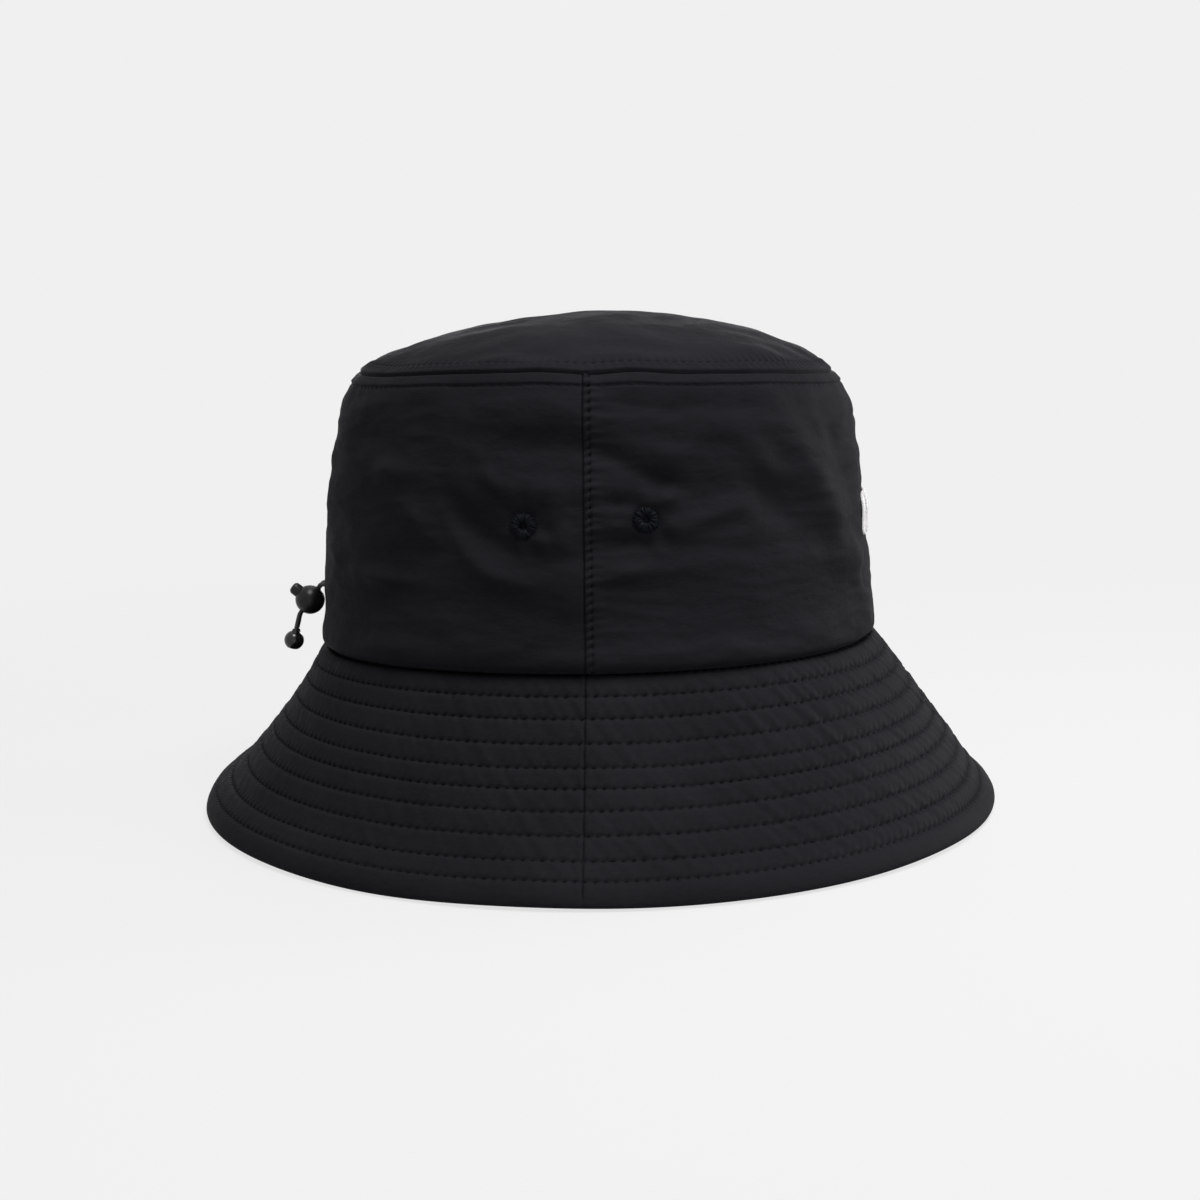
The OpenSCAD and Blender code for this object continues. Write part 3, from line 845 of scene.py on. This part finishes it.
def band_relief(t, h, points):
    welt = -2.05 * np.exp(-(((h - cord_h) / 1.75) ** 4))
    edge = -0.25 * bell(h - band_h, 1.2) - 0.2 * bell(h, 1.5)
    rows = sum(bell(h - row, 0.45) * 0.22 for row in band_rows)
    return -cloth_t - lining_t - 0.1 + welt + edge + rows + 0.12 * ripple(points, 14, seed=1.1)


band = panel("sweatband_tape", columns_of(WHOLE, 420), spaced(0.4, band_h, 44, band_rows + [cord_h], 1.4, 2.5),
             band_surface, band_relief, band_t, close=True)
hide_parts("sweatband")
dress(band, "sweatband")
band_t_row = round_row(holes_round(base_a - 4, band_pitch))
places = [sew(band_surface, band_relief, band_t_row, row, -band_t - 0.1, -1) for row in band_rows]
dress(copies("sweatband_stitches", stitch, places), "thread")

# %% [markdown]
# ## Embroidery
# The vents, the cord holes and the bars on the front are all satin stitch: many
# threads side by side over a padding. One thread is bent like a bridge, and its
# copies are set round a ring for an eyelet or side by side for a bar, each a
# little uneven, on a low padding of the same colour.

# %% One bridge of thread
bridge = short_thread("one_bridge", 0.3, [(1 / 6, size) for size in (1.5, 1.1, 1.0, 1.0, 0.92, 0.7)],
                      lambda x: 1 - min(1.0, abs(2 * x)) ** 2.6)
rng = np.random.RandomState(7)
print("faces of one stitch and one bridge:", len(stitch.data.polygons), len(bridge.data.polygons))

# %% Eyelets
def pad_ring(name, inner, outer, height, place):
    """The padding under an eyelet's threads: a flattened ring on the cloth."""
    activate()
    bpy.ops.mesh.primitive_torus_add(major_segments=40, minor_segments=12,
                                     major_radius=(inner + outer) / 2 * MM, minor_radius=(outer - inner) / 2 * MM)
    obj = bpy.context.object
    edit(lambda: bpy.ops.transform.resize(value=(1, 1, 2 * height / (outer - inner))))
    bpy.ops.object.shade_smooth()
    m = Matrix(place.tolist())
    m.translation = m.translation * MM
    obj.data.transform(m)
    obj.name = name
    return obj


def eyelet(name, node, t, h, inner, outer, height, count):
    """Two layers of threads round a hole, a little uneven, over a padding."""
    origin, normal = on_cloth(wall_surface, crown_relief, np.array([t]), np.array([h]), 0.02)
    local = seat(origin, np.cross([[0.0, 0.0, 1.0]], normal), normal)[0]
    places = []
    for layer, reach in ((0, 1.0), (1, 0.94)):
        turn = TURN * (np.arange(count) + 0.5 * layer + rng.uniform(-0.22, 0.22, count)) / count
        far = outer * reach * (1 + rng.uniform(-0.07, 0.05, count))
        near = inner * (1 + rng.uniform(-0.25, 0.2, count))
        ways = np.stack([np.cos(turn), np.sin(turn), 0 * turn], -1)
        size = (far - near, rng.uniform(0.42, 0.68, count), height * (1 + rng.uniform(-0.35, 0.25, count)))
        middle = ways * ((far + near) / 2)[:, None]
        places.append(seat(middle, ways, np.tile([0.0, 0.0, 1.0], (count, 1)), size))
    threads = copies(name, bridge, [np.einsum("ij,njk->nik", local, np.concatenate(places))])
    pad = pad_ring(name + "_pad", inner * 0.95, outer * 0.93, height * 0.62, local)
    dress(join(name, threads, pad), "thread", node=node)


vents = {"right_front": (0.25, 21.2, 1.3), "right_back": (0.25, -20.6, -0.4),
         "left_front": (0.75, -20.6, 0.6), "left_back": (0.75, 20.6, 0.0)}       # share, mm from it, mm up
for name, (side, away, up) in vents.items():
    t = float(angle_at(np.array(side + away / girth(base_a))))
    eyelet(f"vent_embroidery_{name}", f"vent_eyelet_{name}", t, vent_h + up, 0.95, 4.6, 1.1, 30)
exit_y = centre("cord_eyelet_left").y
exit_t = math.asin(exit_y / (base_a - oval))
for name, t in (("right", math.pi + exit_t), ("left", math.pi - exit_t)):
    level = cord_h
    for _ in range(3):
        level = cord_h - float(hang(t, level / wall_h))
    eyelet(f"cord_embroidery_{name}", f"cord_eyelet_{name}", t, level, 1.05, 2.5, 0.6, 26)

# %% [markdown]
# The bars on the front are an ordinary sporty ornament: five slanted strokes
# with round ends in pale thread. Each stroke is padded, and its threads cross
# it level, a third of a millimetre apart, shorter towards the round ends.

# %% Front bars
motif_h = centre("front_motif").z - brim_h
bar_count, bar_h, bar_w, bar_pitch, bar_slant = 5, 15.0, 4.4, 8.3, math.radians(12)
front_r = base_a - 6 - oval
places = []
for n in range(bar_count):
    up = np.arange(-bar_h / 2 + 0.15, bar_h / 2, 0.3)
    round_end = ramp((np.abs(up) - (bar_h - bar_w) / 2) / (bar_w / 2))
    wide = bar_w * np.sqrt(1 - round_end ** 2 * 0.96) * (1 + rng.uniform(-0.03, 0.03, len(up)))
    t = math.asin((n - (bar_count - 1) / 2) * bar_pitch / front_r) \
        + (up * math.tan(bar_slant) + rng.uniform(-0.05, 0.05, len(up))) / front_r
    for layer, size in ((-0.12, 0.86), (0.0, 1.0)):
        points, normals = on_cloth(wall_surface, crown_relief, t, motif_h + up, 0.1 + layer)
        level = np.cross([0.0, 0.0, 1.0], normals) + [0, 0, 0.1]
        places.append(seat(points, level, normals, (wide * size, np.full(len(up), 0.68), 0.62 * size + 0 * up)))
dress(copies("front_bars", bridge, places), "motif_thread", node="front_motif")

# %% [markdown]
# ## The cord
# The drawcord is a braided elastic cord. Outside the crown it shows as two
# short strands: they leave the eyelets, run into the lock, come out below it and
# hang down to the end ball. A braid is a tube whose skin goes over and under in
# two directions, so the tube is a grid rolled up, with the braid in its relief.

# %% Where the lock's parts are
joints = {j["name"]: j for j in frame["joints"]}
button_way = -Vector(joints["button_press"]["axis"]).normalized()
pull_way = Vector(joints["cord_pull"]["axis"]).normalized()
swing_at = Vector(joints["lock_swing"]["pos_m"]) / MM
tail_at = Vector(joints["tail_swing"]["pos_m"]) / MM
lock_at, lock_r = centre("lock_housing"), width_of("lock_housing") / 2
knot_at, knot_r = centre("end_knot"), width_of("end_knot") / 2
ball_r = width_of("end_ball") / 2
tail_way = (knot_at - tail_at).normalized()
ball_at = knot_at - tail_way * 1.2
cord_r, strand_y = 0.8, 0.85
print(f"lock at {tuple(round(c, 1) for c in lock_at)}, ball at {tuple(round(c, 1) for c in ball_at)}")

# %% Braided strands
def along_path(path, keys, v):
    return np.stack([np.interp(v, keys, path[:, k]) for k in range(3)], -1)


def smooth_path(corners, count=14):
    """A smooth path through a few points, evenly spaced, and its length."""
    corners = np.array([list(c) for c in corners], float)
    path = along_path(corners, range(len(corners)), np.linspace(0, len(corners) - 1, 400))
    for _ in range(60):
        path[1:-1] = (path[:-2] + 2 * path[1:-1] + path[2:]) / 4
    length = running(np.linalg.norm(np.diff(path, axis=0), axis=1))
    return along_path(path, length, np.linspace(0, length[-1], count)), length[-1]


def braid(name, corners, r=cord_r):
    path, length = smooth_path(corners)
    keys = np.linspace(0, 1, len(path))
    rows = np.linspace(0, 1, max(24, int(length * 7)))
    tip_end = 0.35 / length      # share of the length over which an end rounds off

    def tube(t, v):
        before, after = (along_path(path, keys, ramp(v + step)) for step in (-0.02, 0.02))
        ahead = unit(after - before)
        side = unit(np.cross(np.broadcast_to([0.0, 1.0, 0.0], ahead.shape), ahead))
        closed = ramp((np.abs(v - 0.5) - 0.5 + tip_end) / tip_end) ** 2
        around = np.cos(t)[..., None] * side + np.sin(t)[..., None] * np.cross(ahead, side)
        return along_path(path, keys, v) + r * 0.94 * np.sqrt(ramp(1 - closed * 0.85))[..., None] * around

    def plait(t, v, points):
        a, b = 4 * t + v * length * 3.4, 4 * t - v * length * 3.4
        return 0.075 * np.maximum(np.abs(np.sin(a)), np.abs(np.sin(b))) - 0.02

    def close_ends():
        bpy.ops.mesh.select_non_manifold()
        bpy.ops.mesh.edge_face_add()
        bpy.ops.mesh.select_all(action="SELECT")
        bpy.ops.mesh.normals_make_consistent(inside=False)

    obj = panel(name, np.linspace(-math.pi, math.pi, 41), rows, tube, plait, 0,
                uv_of=lambda t, v, p: np.stack([t * r, v * length], -1), close=True)
    edit(close_ends, "DESELECT")
    return obj


def strands(name, node, corners):
    """Two strands side by side, one piece; each corner is a point and how far from the middle they are."""
    piece = join(f"strand_{name}", *[braid(name, [at + Y * side * apart for at, apart in corners])
                                     for side in (-1, 1)])
    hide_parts(node)
    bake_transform(piece)
    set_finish(piece, "cord")


Y = Vector((0, 1, 0))
knee = lock_at - pull_way * (lock_r - 0.2)
mouth = lock_at + pull_way * (lock_r - 0.1)
strands("neck", "cord_neck", [
    (swing_at + Vector((3.4, 0, 0)), exit_y), (swing_at + Vector((1.0, 0, 0)), exit_y),
    (swing_at + Vector((-0.1, 0, -0.1)), exit_y * 0.97),
    ((swing_at + knee) / 2, (exit_y * 0.4 + strand_y * 0.6) * 0.95),
    (knee, strand_y), (knee + pull_way * 0.7, strand_y)])
strands("pull", "cord_lead", [
    (knee + pull_way * 1.4, strand_y), (lock_at, strand_y), (mouth + pull_way * 0.25, strand_y)])
strands("tail", "cord_tail", [
    (mouth - pull_way * 0.7, strand_y), (tail_at + tail_way * 0.4, strand_y),
    (tail_at + tail_way * 3.4, strand_y + 0.25), (tail_at + tail_way * 6.2, strand_y + 0.12),
    (ball_at, strand_y)])

# %% [markdown]
# ## The cord lock
# A round housing is pierced by the cord's passage and, square to it, by a well
# for the button. The button has a window for the cord and is pushed up by a
# spring, so it pinches the strands. The real pieces are injection moulded: they
# have rounded lips. The sphere is cut by two Booleans and its edges are
# bevelled; cutting by hand would give the same edge with more work.

# %% Lock housing and button
def frame_at(x, y, z, at):
    """Matrix that turns a part to three ways and moves it to a place in mm."""
    m = Matrix((x, y, z)).transposed().to_4x4()
    m.translation = at * MM
    return m


def cylinder(r, low, high, around=48, lying=False, y=0.0):
    bpy.ops.mesh.primitive_cylinder_add(vertices=around, radius=r * MM, depth=(high - low) * MM,
                                        location=(0, y * MM, (high + low) / 2 * MM))
    obj = bpy.context.object
    bpy.ops.object.transform_apply(location=True, rotation=True, scale=True)
    if lying:
        obj.data.transform(Matrix.Rotation(math.pi / 2, 4, "Y"))
    return obj


def block(x, y, z, up=0.0):
    bpy.ops.mesh.primitive_cube_add(size=1)
    obj = bpy.context.object
    obj.data.transform(Matrix.Translation((0, 0, up * MM)) @ Matrix.Diagonal((x * MM, y * MM, z * MM, 1)))
    return obj


def boolean(obj, other, operation="DIFFERENCE"):
    modify(obj, "BOOLEAN", operation=operation, object=other, solver="EXACT")
    bpy.data.objects.remove(other)


def round_edges(obj, width, angle=30, segments=3):
    modify(obj, "BEVEL", width=width * MM, segments=segments, limit_method="ANGLE",
           angle_limit=math.radians(angle))
    bpy.ops.object.shade_smooth_by_angle(angle=math.radians(40))


def set_in(obj, name, place, slot, body, node):
    """Put a moulded part where it belongs, and dress it."""
    obj.data.transform(place)
    obj.name = obj.data.name = name
    dress(obj, slot, body, node)


lock_place = frame_at(-pull_way, button_way.cross(-pull_way), button_way, lock_at)
well_r, well_floor, passage_r = 2.45, -(lock_r - 1.1), 1.05
activate()
bpy.ops.mesh.primitive_uv_sphere_add(segments=72, ring_count=36, radius=lock_r * MM)
housing = bpy.context.object
boolean(housing, cylinder(well_r, well_floor, lock_r * 2))
passage = cylinder(passage_r, -2 * lock_r, 2 * lock_r, 24, True, strand_y)
boolean(passage, cylinder(passage_r, -2 * lock_r, 2 * lock_r, 24, True, -strand_y), "UNION")
activate()
boolean(passage, block(4 * lock_r, 2 * strand_y, 2 * passage_r), "UNION")
boolean(housing, passage)
round_edges(housing, 0.22)
set_in(housing, "lock_body", lock_place, "lock_plastic", "cord_lock", "lock_housing")

button_r, button_foot, button_top = 2.4, -1.9, lock_r + 2.8
activate()
button = cylinder(button_r, button_foot, button_top)
edit(select="DESELECT")
for face in button.data.polygons:
    face.select = face.center.z > (button_top - 0.1) * MM
edit(lambda: bpy.ops.mesh.bevel(offset=1.5 * MM, segments=8), select=None)
boolean(button, block(10, 3.7, 3.3, 0.75))          # the window for the cord
round_edges(button, 0.12, 35, 2)
set_in(button, "lock_push_button", lock_place, "lock_plastic", "button", "lock_button")

# %% [markdown]
# The end ball slides up both strands and sits on their knot. It is a ball with
# two small collars where the strands go in, and a pocket below that hides the
# knot.

# %% End ball and knot
def tail_place(at):
    return frame_at(Y.cross(-tail_way), Y, -tail_way, at)


def wire(points, radius, closed):
    """A round wire along points in mm."""
    activate()
    bpy.ops.curve.primitive_bezier_curve_add()
    line = bpy.context.object
    line.data.splines.clear()
    spline = line.data.splines.new("POLY")
    spline.points.add(len(points) - 1)
    spline.use_cyclic_u = closed
    for point, co in zip(spline.points, points):
        point.co = (*(co * MM), 1)
    line.data.bevel_depth, line.data.bevel_resolution = radius * MM, 4
    line.data.use_fill_caps = not closed
    bpy.ops.object.convert(target="MESH")
    bpy.ops.object.shade_smooth_by_angle(angle=math.radians(60))
    bpy.context.object.matrix_world = Matrix.Identity(4)
    return bpy.context.object


activate()
bpy.ops.mesh.primitive_uv_sphere_add(segments=64, ring_count=32, radius=ball_r * MM)
ball = bpy.context.object
for side in (-1, 1):
    bpy.ops.mesh.primitive_cone_add(vertices=32, radius1=1.75 * MM, radius2=1.15 * MM, depth=2.0 * MM,
                                    location=(0, side * strand_y * MM, ball_r * MM))
    collar = bpy.context.object
    bpy.ops.object.transform_apply(location=True, rotation=True, scale=True)
    boolean(ball, collar, "UNION")
pocket_gap = 0.1
boolean(ball, cylinder(knot_r + pocket_gap, -2 * ball_r, knot_r - 1.2 + pocket_gap, 40))
round_edges(ball, 0.15)
set_in(ball, "end_ball_moulding", tail_place(ball_at), "ball", "cord_end", "end_ball")

turns = np.linspace(0, TURN, 80, endpoint=False)
knot_wire_r = 0.72
trefoil = np.stack([np.sin(turns) + 2 * np.sin(2 * turns), np.cos(turns) - 2 * np.cos(2 * turns),
                    -1.6 * np.sin(3 * turns)], -1) * (knot_r - 0.75) / 3
set_in(wire(trefoil, knot_wire_r, True), "end_knot_loop", tail_place(knot_at), "cord", "cord_end", "end_knot")

# %% [markdown]
# The spring stands in the well under the button.

# %% Lock spring
wire_r, coil_r, press, clearance = 0.15, 1.5, 1.5, 0.05
turns = np.linspace(0, 3, 109)
rise = np.linspace(well_floor + wire_r + clearance, button_foot - wire_r - clearance, len(turns))
helix = np.stack([coil_r * np.cos(TURN * turns), coil_r * np.sin(TURN * turns), rise], -1)
coil = wire(helix, wire_r, False)
set_in(coil, "lock_coil", lock_place, "spring_wire", "cord_lock", "lock_spring")
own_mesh(coil)
for pattern in (stitch, bridge):
    bpy.data.objects.remove(pattern)

# %% [markdown]
# ## Finishes
# Every finish is a Principled shader with its colour, gloss and bump made by
# nodes. Black nylon is never black: it mirrors the room softly, so its bump
# matters more than its colour. The weave uses the UV map in millimetres, and
# slow changes of tone use the place in space.

# %% Helpers for finishes
def new_material(name, roughness, **sockets):
    m = bpy.data.materials.new(name)
    m.use_nodes = True
    shader = m.node_tree.nodes["Principled BSDF"]
    shader.inputs["Roughness"].default_value = roughness
    for key, value in sockets.items():
        shader.inputs[key.replace("_", " ")].default_value = value
    return m, m.node_tree, shader


def node(tree, kind, inputs=None, **settings):
    n = tree.nodes.new("ShaderNode" + kind)
    for key, value in settings.items():
        setattr(n, key, value)
    for key, value in (inputs or {}).items():
        n.inputs[key].default_value = value
    return n


def wires(tree, *pairs):
    for a, b in pairs:
        tree.links.new(a, b)


def combine(tree, operation, a, b):
    """The output of a Math node with two inputs."""
    n = node(tree, "Math", operation=operation)
    wires(tree, (a, n.inputs[0]), (b, n.inputs[1]))
    return n.outputs[0]


def texture(tree, kind, source, scale, inputs, **settings):
    """The factor of a texture node on scaled UV or Object coordinates."""
    coord, mapping = node(tree, "TexCoord"), node(tree, "Mapping", {"Scale": scale})
    n = node(tree, kind, inputs, **settings)
    wires(tree, (coord.outputs[source], mapping.inputs[0]), (mapping.outputs[0], n.inputs["Vector"]))
    return n.outputs["Fac"]


def remap(tree, value, before, after, kind="LINEAR"):
    """A value carried from one range to another."""
    ends = dict(zip(("From Min", "From Max", "To Min", "To Max"), before + after))
    n = node(tree, "MapRange", ends, interpolation_type=kind)
    wires(tree, (value, n.inputs["Value"]))
    return n.outputs["Result"]


def tones(tree, shader, factor, dark, light):
    """Colour that goes from dark to light with a factor."""
    scale = node(tree, "ValToRGB")
    for stop, position, colour in zip(scale.color_ramp.elements, (0.3, 0.7), (dark, light)):
        stop.position, stop.color = position, (*colour, 1)
    wires(tree, (factor, scale.inputs["Fac"]), (scale.outputs["Color"], shader.inputs["Base Color"]))


def bumps(tree, shader, *layers):
    """Bump nodes one after another: each layer is a height output and its depth in mm."""
    before = None
    for height, depth in layers:
        b = node(tree, "Bump", {"Strength": 1.0, "Distance": depth * MM})
        wires(tree, (height, b.inputs["Height"]))
        if before:
            wires(tree, (before, b.inputs["Normal"]))
        before = b.outputs["Normal"]
    wires(tree, (before, shader.inputs["Normal"]))


def give(material, slot, *names):
    """Put a finish on every piece of a slot, and on CAD nodes by name."""
    solids = [frame["nodes"][n] for n in names]
    dressed = [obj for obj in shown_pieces() if obj.get("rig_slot") == slot] + solids
    for obj in dressed:
        obj.data.materials.clear()
        obj.data.materials.append(material)
    print(material.name, "on", len(dressed), "pieces")

# %% Nylon
def bands(tree, direction, scale, distortion=0.0):
    return texture(tree, "TexWave", "UV", scale, {"Scale": 1.0, "Distortion": distortion},
                   wave_type="BANDS", bands_direction=direction, wave_profile="SIN")


def nylon(name, dark, light, roughness, crinkle, weave=0.35):
    m, tree, shader = new_material(name, roughness, Specular_IOR_Level=0.012)
    fine = (0.32 / weave, 0.32 / weave, 1)
    both = combine(tree, "MULTIPLY", bands(tree, "X", fine), bands(tree, "Y", fine))
    slub = texture(tree, "TexNoise", "UV", (0.22, 1.3, 1), {"Scale": 1.0, "Detail": 3.0, "Roughness": 0.6})
    crush = texture(tree, "TexNoise", "Object", (1, 1, 1.9),
                    {"Scale": 190.0, "Detail": 5.0, "Roughness": 0.62, "Distortion": 0.4})
    slow = texture(tree, "TexNoise", "Object", (1, 1, 1), {"Scale": 26.0, "Detail": 2.0})
    mix = node(tree, "Mix", {"Factor": 0.45}, data_type="FLOAT")
    wires(tree, (slow, mix.inputs[2]), (slub, mix.inputs[3]))
    tones(tree, shader, mix.outputs[0], dark, light)
    gloss = remap(tree, slub, (0.3, 0.7), (roughness - 0.05, roughness + 0.06))
    wires(tree, (gloss, shader.inputs["Roughness"]))
    bumps(tree, shader, (crush, crinkle), (slub, 0.06), (both, 0.03))
    return m


give(nylon("black_nylon_crown", (0.0078, 0.0076, 0.0092), (0.0118, 0.0115, 0.0138), 0.58, 0.35), "crown_cloth")
give(nylon("black_nylon_brim", (0.0082, 0.0080, 0.0096), (0.0125, 0.0121, 0.0143), 0.58, 0.28), "brim_cloth")
give(nylon("lining_nylon", (0.012, 0.0117, 0.0138), (0.018, 0.0175, 0.020), 0.5, 0.22, 0.25), "lining")

# %% Ribbed tape, thread, core
def ribbed(name, dark, light):
    m, tree, shader = new_material(name, 0.75, Sheen_Weight=0.25, Sheen_Roughness=0.5)
    rib = bands(tree, "X", (0.36, 0.02, 1), 0.15)
    fuzz = texture(tree, "TexNoise", "UV", (1, 1, 1), {"Scale": 1.6, "Detail": 4.0})
    tones(tree, shader, fuzz, dark, light)
    bumps(tree, shader, (rib, 0.12), (fuzz, 0.04))
    return m


def fibres(name, dark, light, roughness, grain, depth, tall=1.0, **sockets):
    """Fine fibres: one noise gives both tone and bump."""
    m, tree, shader = new_material(name, roughness, **sockets)
    fibre = texture(tree, "TexNoise", "Object", (1, 1, tall), grain)
    tones(tree, shader, fibre, dark, light)
    bumps(tree, shader, (fibre, depth))
    return m


twist = {"Scale": 2600.0, "Detail": 2.0, "Roughness": 0.6}
give(ribbed("sweatband_tape", (0.011, 0.011, 0.013), (0.020, 0.020, 0.023)), "sweatband")
give(fibres("black_thread", (0.0022, 0.0026, 0.0036), (0.0072, 0.0082, 0.0118), 0.5, twist, 0.05,
            Specular_IOR_Level=0.06), "thread")
give(fibres("pale_thread", (0.42, 0.41, 0.41), (0.60, 0.59, 0.59), 0.45, twist, 0.05,
            Specular_IOR_Level=0.3), "motif_thread")
give(fibres("stiff_core", (0.42, 0.42, 0.39), (0.6, 0.6, 0.56), 0.9,
            {"Scale": 900.0, "Detail": 5.0, "Distortion": 1.5}, 0.1), "core")

# %% Cord, plastic and steel
def moulded(name, dark, light, roughness, grain, **sockets):
    m, tree, shader = new_material(name, roughness, **sockets)
    skin = texture(tree, "TexNoise", "Object", (1, 1, 1), {"Scale": 1500.0, "Detail": 2.0})
    wear = texture(tree, "TexNoise", "Object", (1, 1, 1), {"Scale": 170.0, "Detail": 4.0})
    tones(tree, shader, wear, dark, light)
    gloss = remap(tree, wear, (0.3, 0.7), (roughness - 0.04, roughness + 0.06))
    wires(tree, (gloss, shader.inputs["Roughness"]))
    bumps(tree, shader, (skin, grain))
    return m


give(fibres("black_cord", (0.004, 0.004, 0.0045), (0.012, 0.012, 0.013), 0.6, {"Scale": 2100.0, "Detail": 3.0},
            0.06, 0.5, Sheen_Weight=0.2, Sheen_Roughness=0.4), "cord", "drawcord")
give(moulded("satin_plastic", (0.005, 0.005, 0.0055), (0.008, 0.008, 0.009), 0.34, 0.012,
             Specular_IOR_Level=0.22), "lock_plastic")
give(moulded("gloss_gunmetal", (0.007, 0.007, 0.008), (0.012, 0.012, 0.013), 0.18, 0.004,
             Specular_IOR_Level=0.4), "ball")
give(moulded("spring_steel", (0.45, 0.45, 0.46), (0.6, 0.6, 0.61), 0.3, 0.01, Metallic=1.0), "spring_wire")

# %% [markdown]
# ## Light, floor and camera
# A hat on a pale table in a soft room: a large light overhead, a weaker one
# from the front of the hat, and a world that is darker behind the hat and near
# the horizon. Low lights at the front and on the far side draw the outline. The
# floor and the world show as light grey to the camera and to gloss, and near
# the hat the floor keeps a share of its real, shadowed self.

# %% World and floor
BACKDROP = 0.871


def shown(tree, output, lit, part=None):
    """Show the plain backdrop to the camera, to gloss and to clear parts, and light the rest with `lit`."""
    plain = node(tree, "Background" if output == "World Output" else "Emission",
                 {"Color": (BACKDROP, BACKDROP, BACKDROP, 1), "Strength": 1.0})
    ray = node(tree, "LightPath").outputs
    seen = combine(tree, "MAXIMUM", combine(tree, "MAXIMUM", ray["Is Camera Ray"], ray["Is Glossy Ray"]),
                   ray["Is Transmission Ray"])
    if part:
        seen = combine(tree, "MULTIPLY", seen, part)
    mixer = node(tree, "MixShader")
    wires(tree, (seen, mixer.inputs["Fac"]), (lit, mixer.inputs[1]), (plain.outputs[0], mixer.inputs[2]),
          (mixer.outputs[0], tree.nodes[output].inputs["Surface"]))


world = bpy.data.worlds.new("studio")
bpy.context.scene.world = world
world.use_nodes = True
tree = world.node_tree
sky = tree.nodes["Background"]
sky.inputs["Color"].default_value = (1, 1, 1, 1)
way, axes = node(tree, "TexCoord"), node(tree, "SeparateXYZ")
wires(tree, (way.outputs["Generated"], axes.inputs[0]))
upward = remap(tree, axes.outputs["Z"], (-0.1, 0.9), (0.05, 0.38), "SMOOTHSTEP")
sideways = remap(tree, axes.outputs["X"], (-1.0, 1.0), (0.1, 1.5), "SMOOTHSTEP")
wires(tree, (combine(tree, "MULTIPLY", upward, sideways), sky.inputs["Strength"]))
shown(tree, "World Output", sky.outputs[0])

activate()
bpy.ops.mesh.primitive_grid_add(x_subdivisions=2, y_subdivisions=2, size=12)
floor = bpy.context.object
floor.name = "floor"
floor.data.transform(Matrix.Translation((0, 0, -0.0004)))
paper, tree, shader = new_material("pale_floor", 0.9, Base_Color=(0.6, 0.6, 0.6, 1), Specular_IOR_Level=0.0)
place, far = node(tree, "TexCoord"), node(tree, "VectorMath", operation="LENGTH")
wires(tree, (place.outputs["Object"], far.inputs[0]))
plain_part = remap(tree, far.outputs["Value"], (0.15, 0.7), (0.82, 1.0), "SMOOTHSTEP")
shown(tree, "Material Output", shader.outputs[0], plain_part)
floor.data.materials.append(paper)
floor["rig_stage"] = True

# %% Lamps
aim = Vector((0, 0, 0.09))
lamps = [       # where, size and power in W
    ("overhead", (0.14, -0.34, 1.18), (0.7, 0.5), 17.0),
    ("overhead_back", (0.1, 0.45, 1.15), (0.7, 0.5), 2.0),
    ("front_side", (1.1, -0.35, 0.6), (0.5, 0.7), 4.8),
    ("far_side", (-0.1, 1.45, 0.26), (0.9, 0.4), 5.5),
    ("front_rim", (1.1, 0.5, 0.35), (0.3, 0.6), 7.0),
    ("low_fill", (0.1, -1.5, 0.1), (1.4, 0.3), 0.8),
]
for name, at, (wide, high), power in lamps:
    lamp = bpy.data.lights.new(name, "AREA")
    lamp.shape, lamp.size, lamp.size_y, lamp.energy = "RECTANGLE", wide, high, power
    obj = bpy.data.objects.new(name, lamp)
    bpy.context.collection.objects.link(obj)
    obj.location = at
    obj.rotation_euler = (aim - Vector(at)).to_track_quat("-Z", "Y").to_euler()

# %% Camera
target = Vector((0.0014, 0, 0.0719))
azimuth, elevation, roll, distance = math.radians(2.4), math.radians(10.2), math.radians(-0.96), 0.620
level = math.cos(elevation)
back = Vector((math.sin(azimuth) * level, -math.cos(azimuth) * level, math.sin(elevation)))
eye = bpy.data.cameras.new("camera")
eye.lens, eye.sensor_width, eye.clip_start = 49.7, 36.0, 0.01
camera = bpy.data.objects.new("camera", eye)
bpy.context.collection.objects.link(camera)
camera.rotation_mode = "QUATERNION"
camera.location = target + back * distance
camera.rotation_quaternion = (-back).to_track_quat("-Z", "Y") @ Matrix.Rotation(roll, 4, "Z").to_quaternion()
bpy.context.scene.camera = camera
bpy.context.scene.view_settings.view_transform = "Standard"

# %% The hat's size
low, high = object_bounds()
print("hat:", [round((b - a) / MM, 1) for a, b in zip(low, high)], "mm")
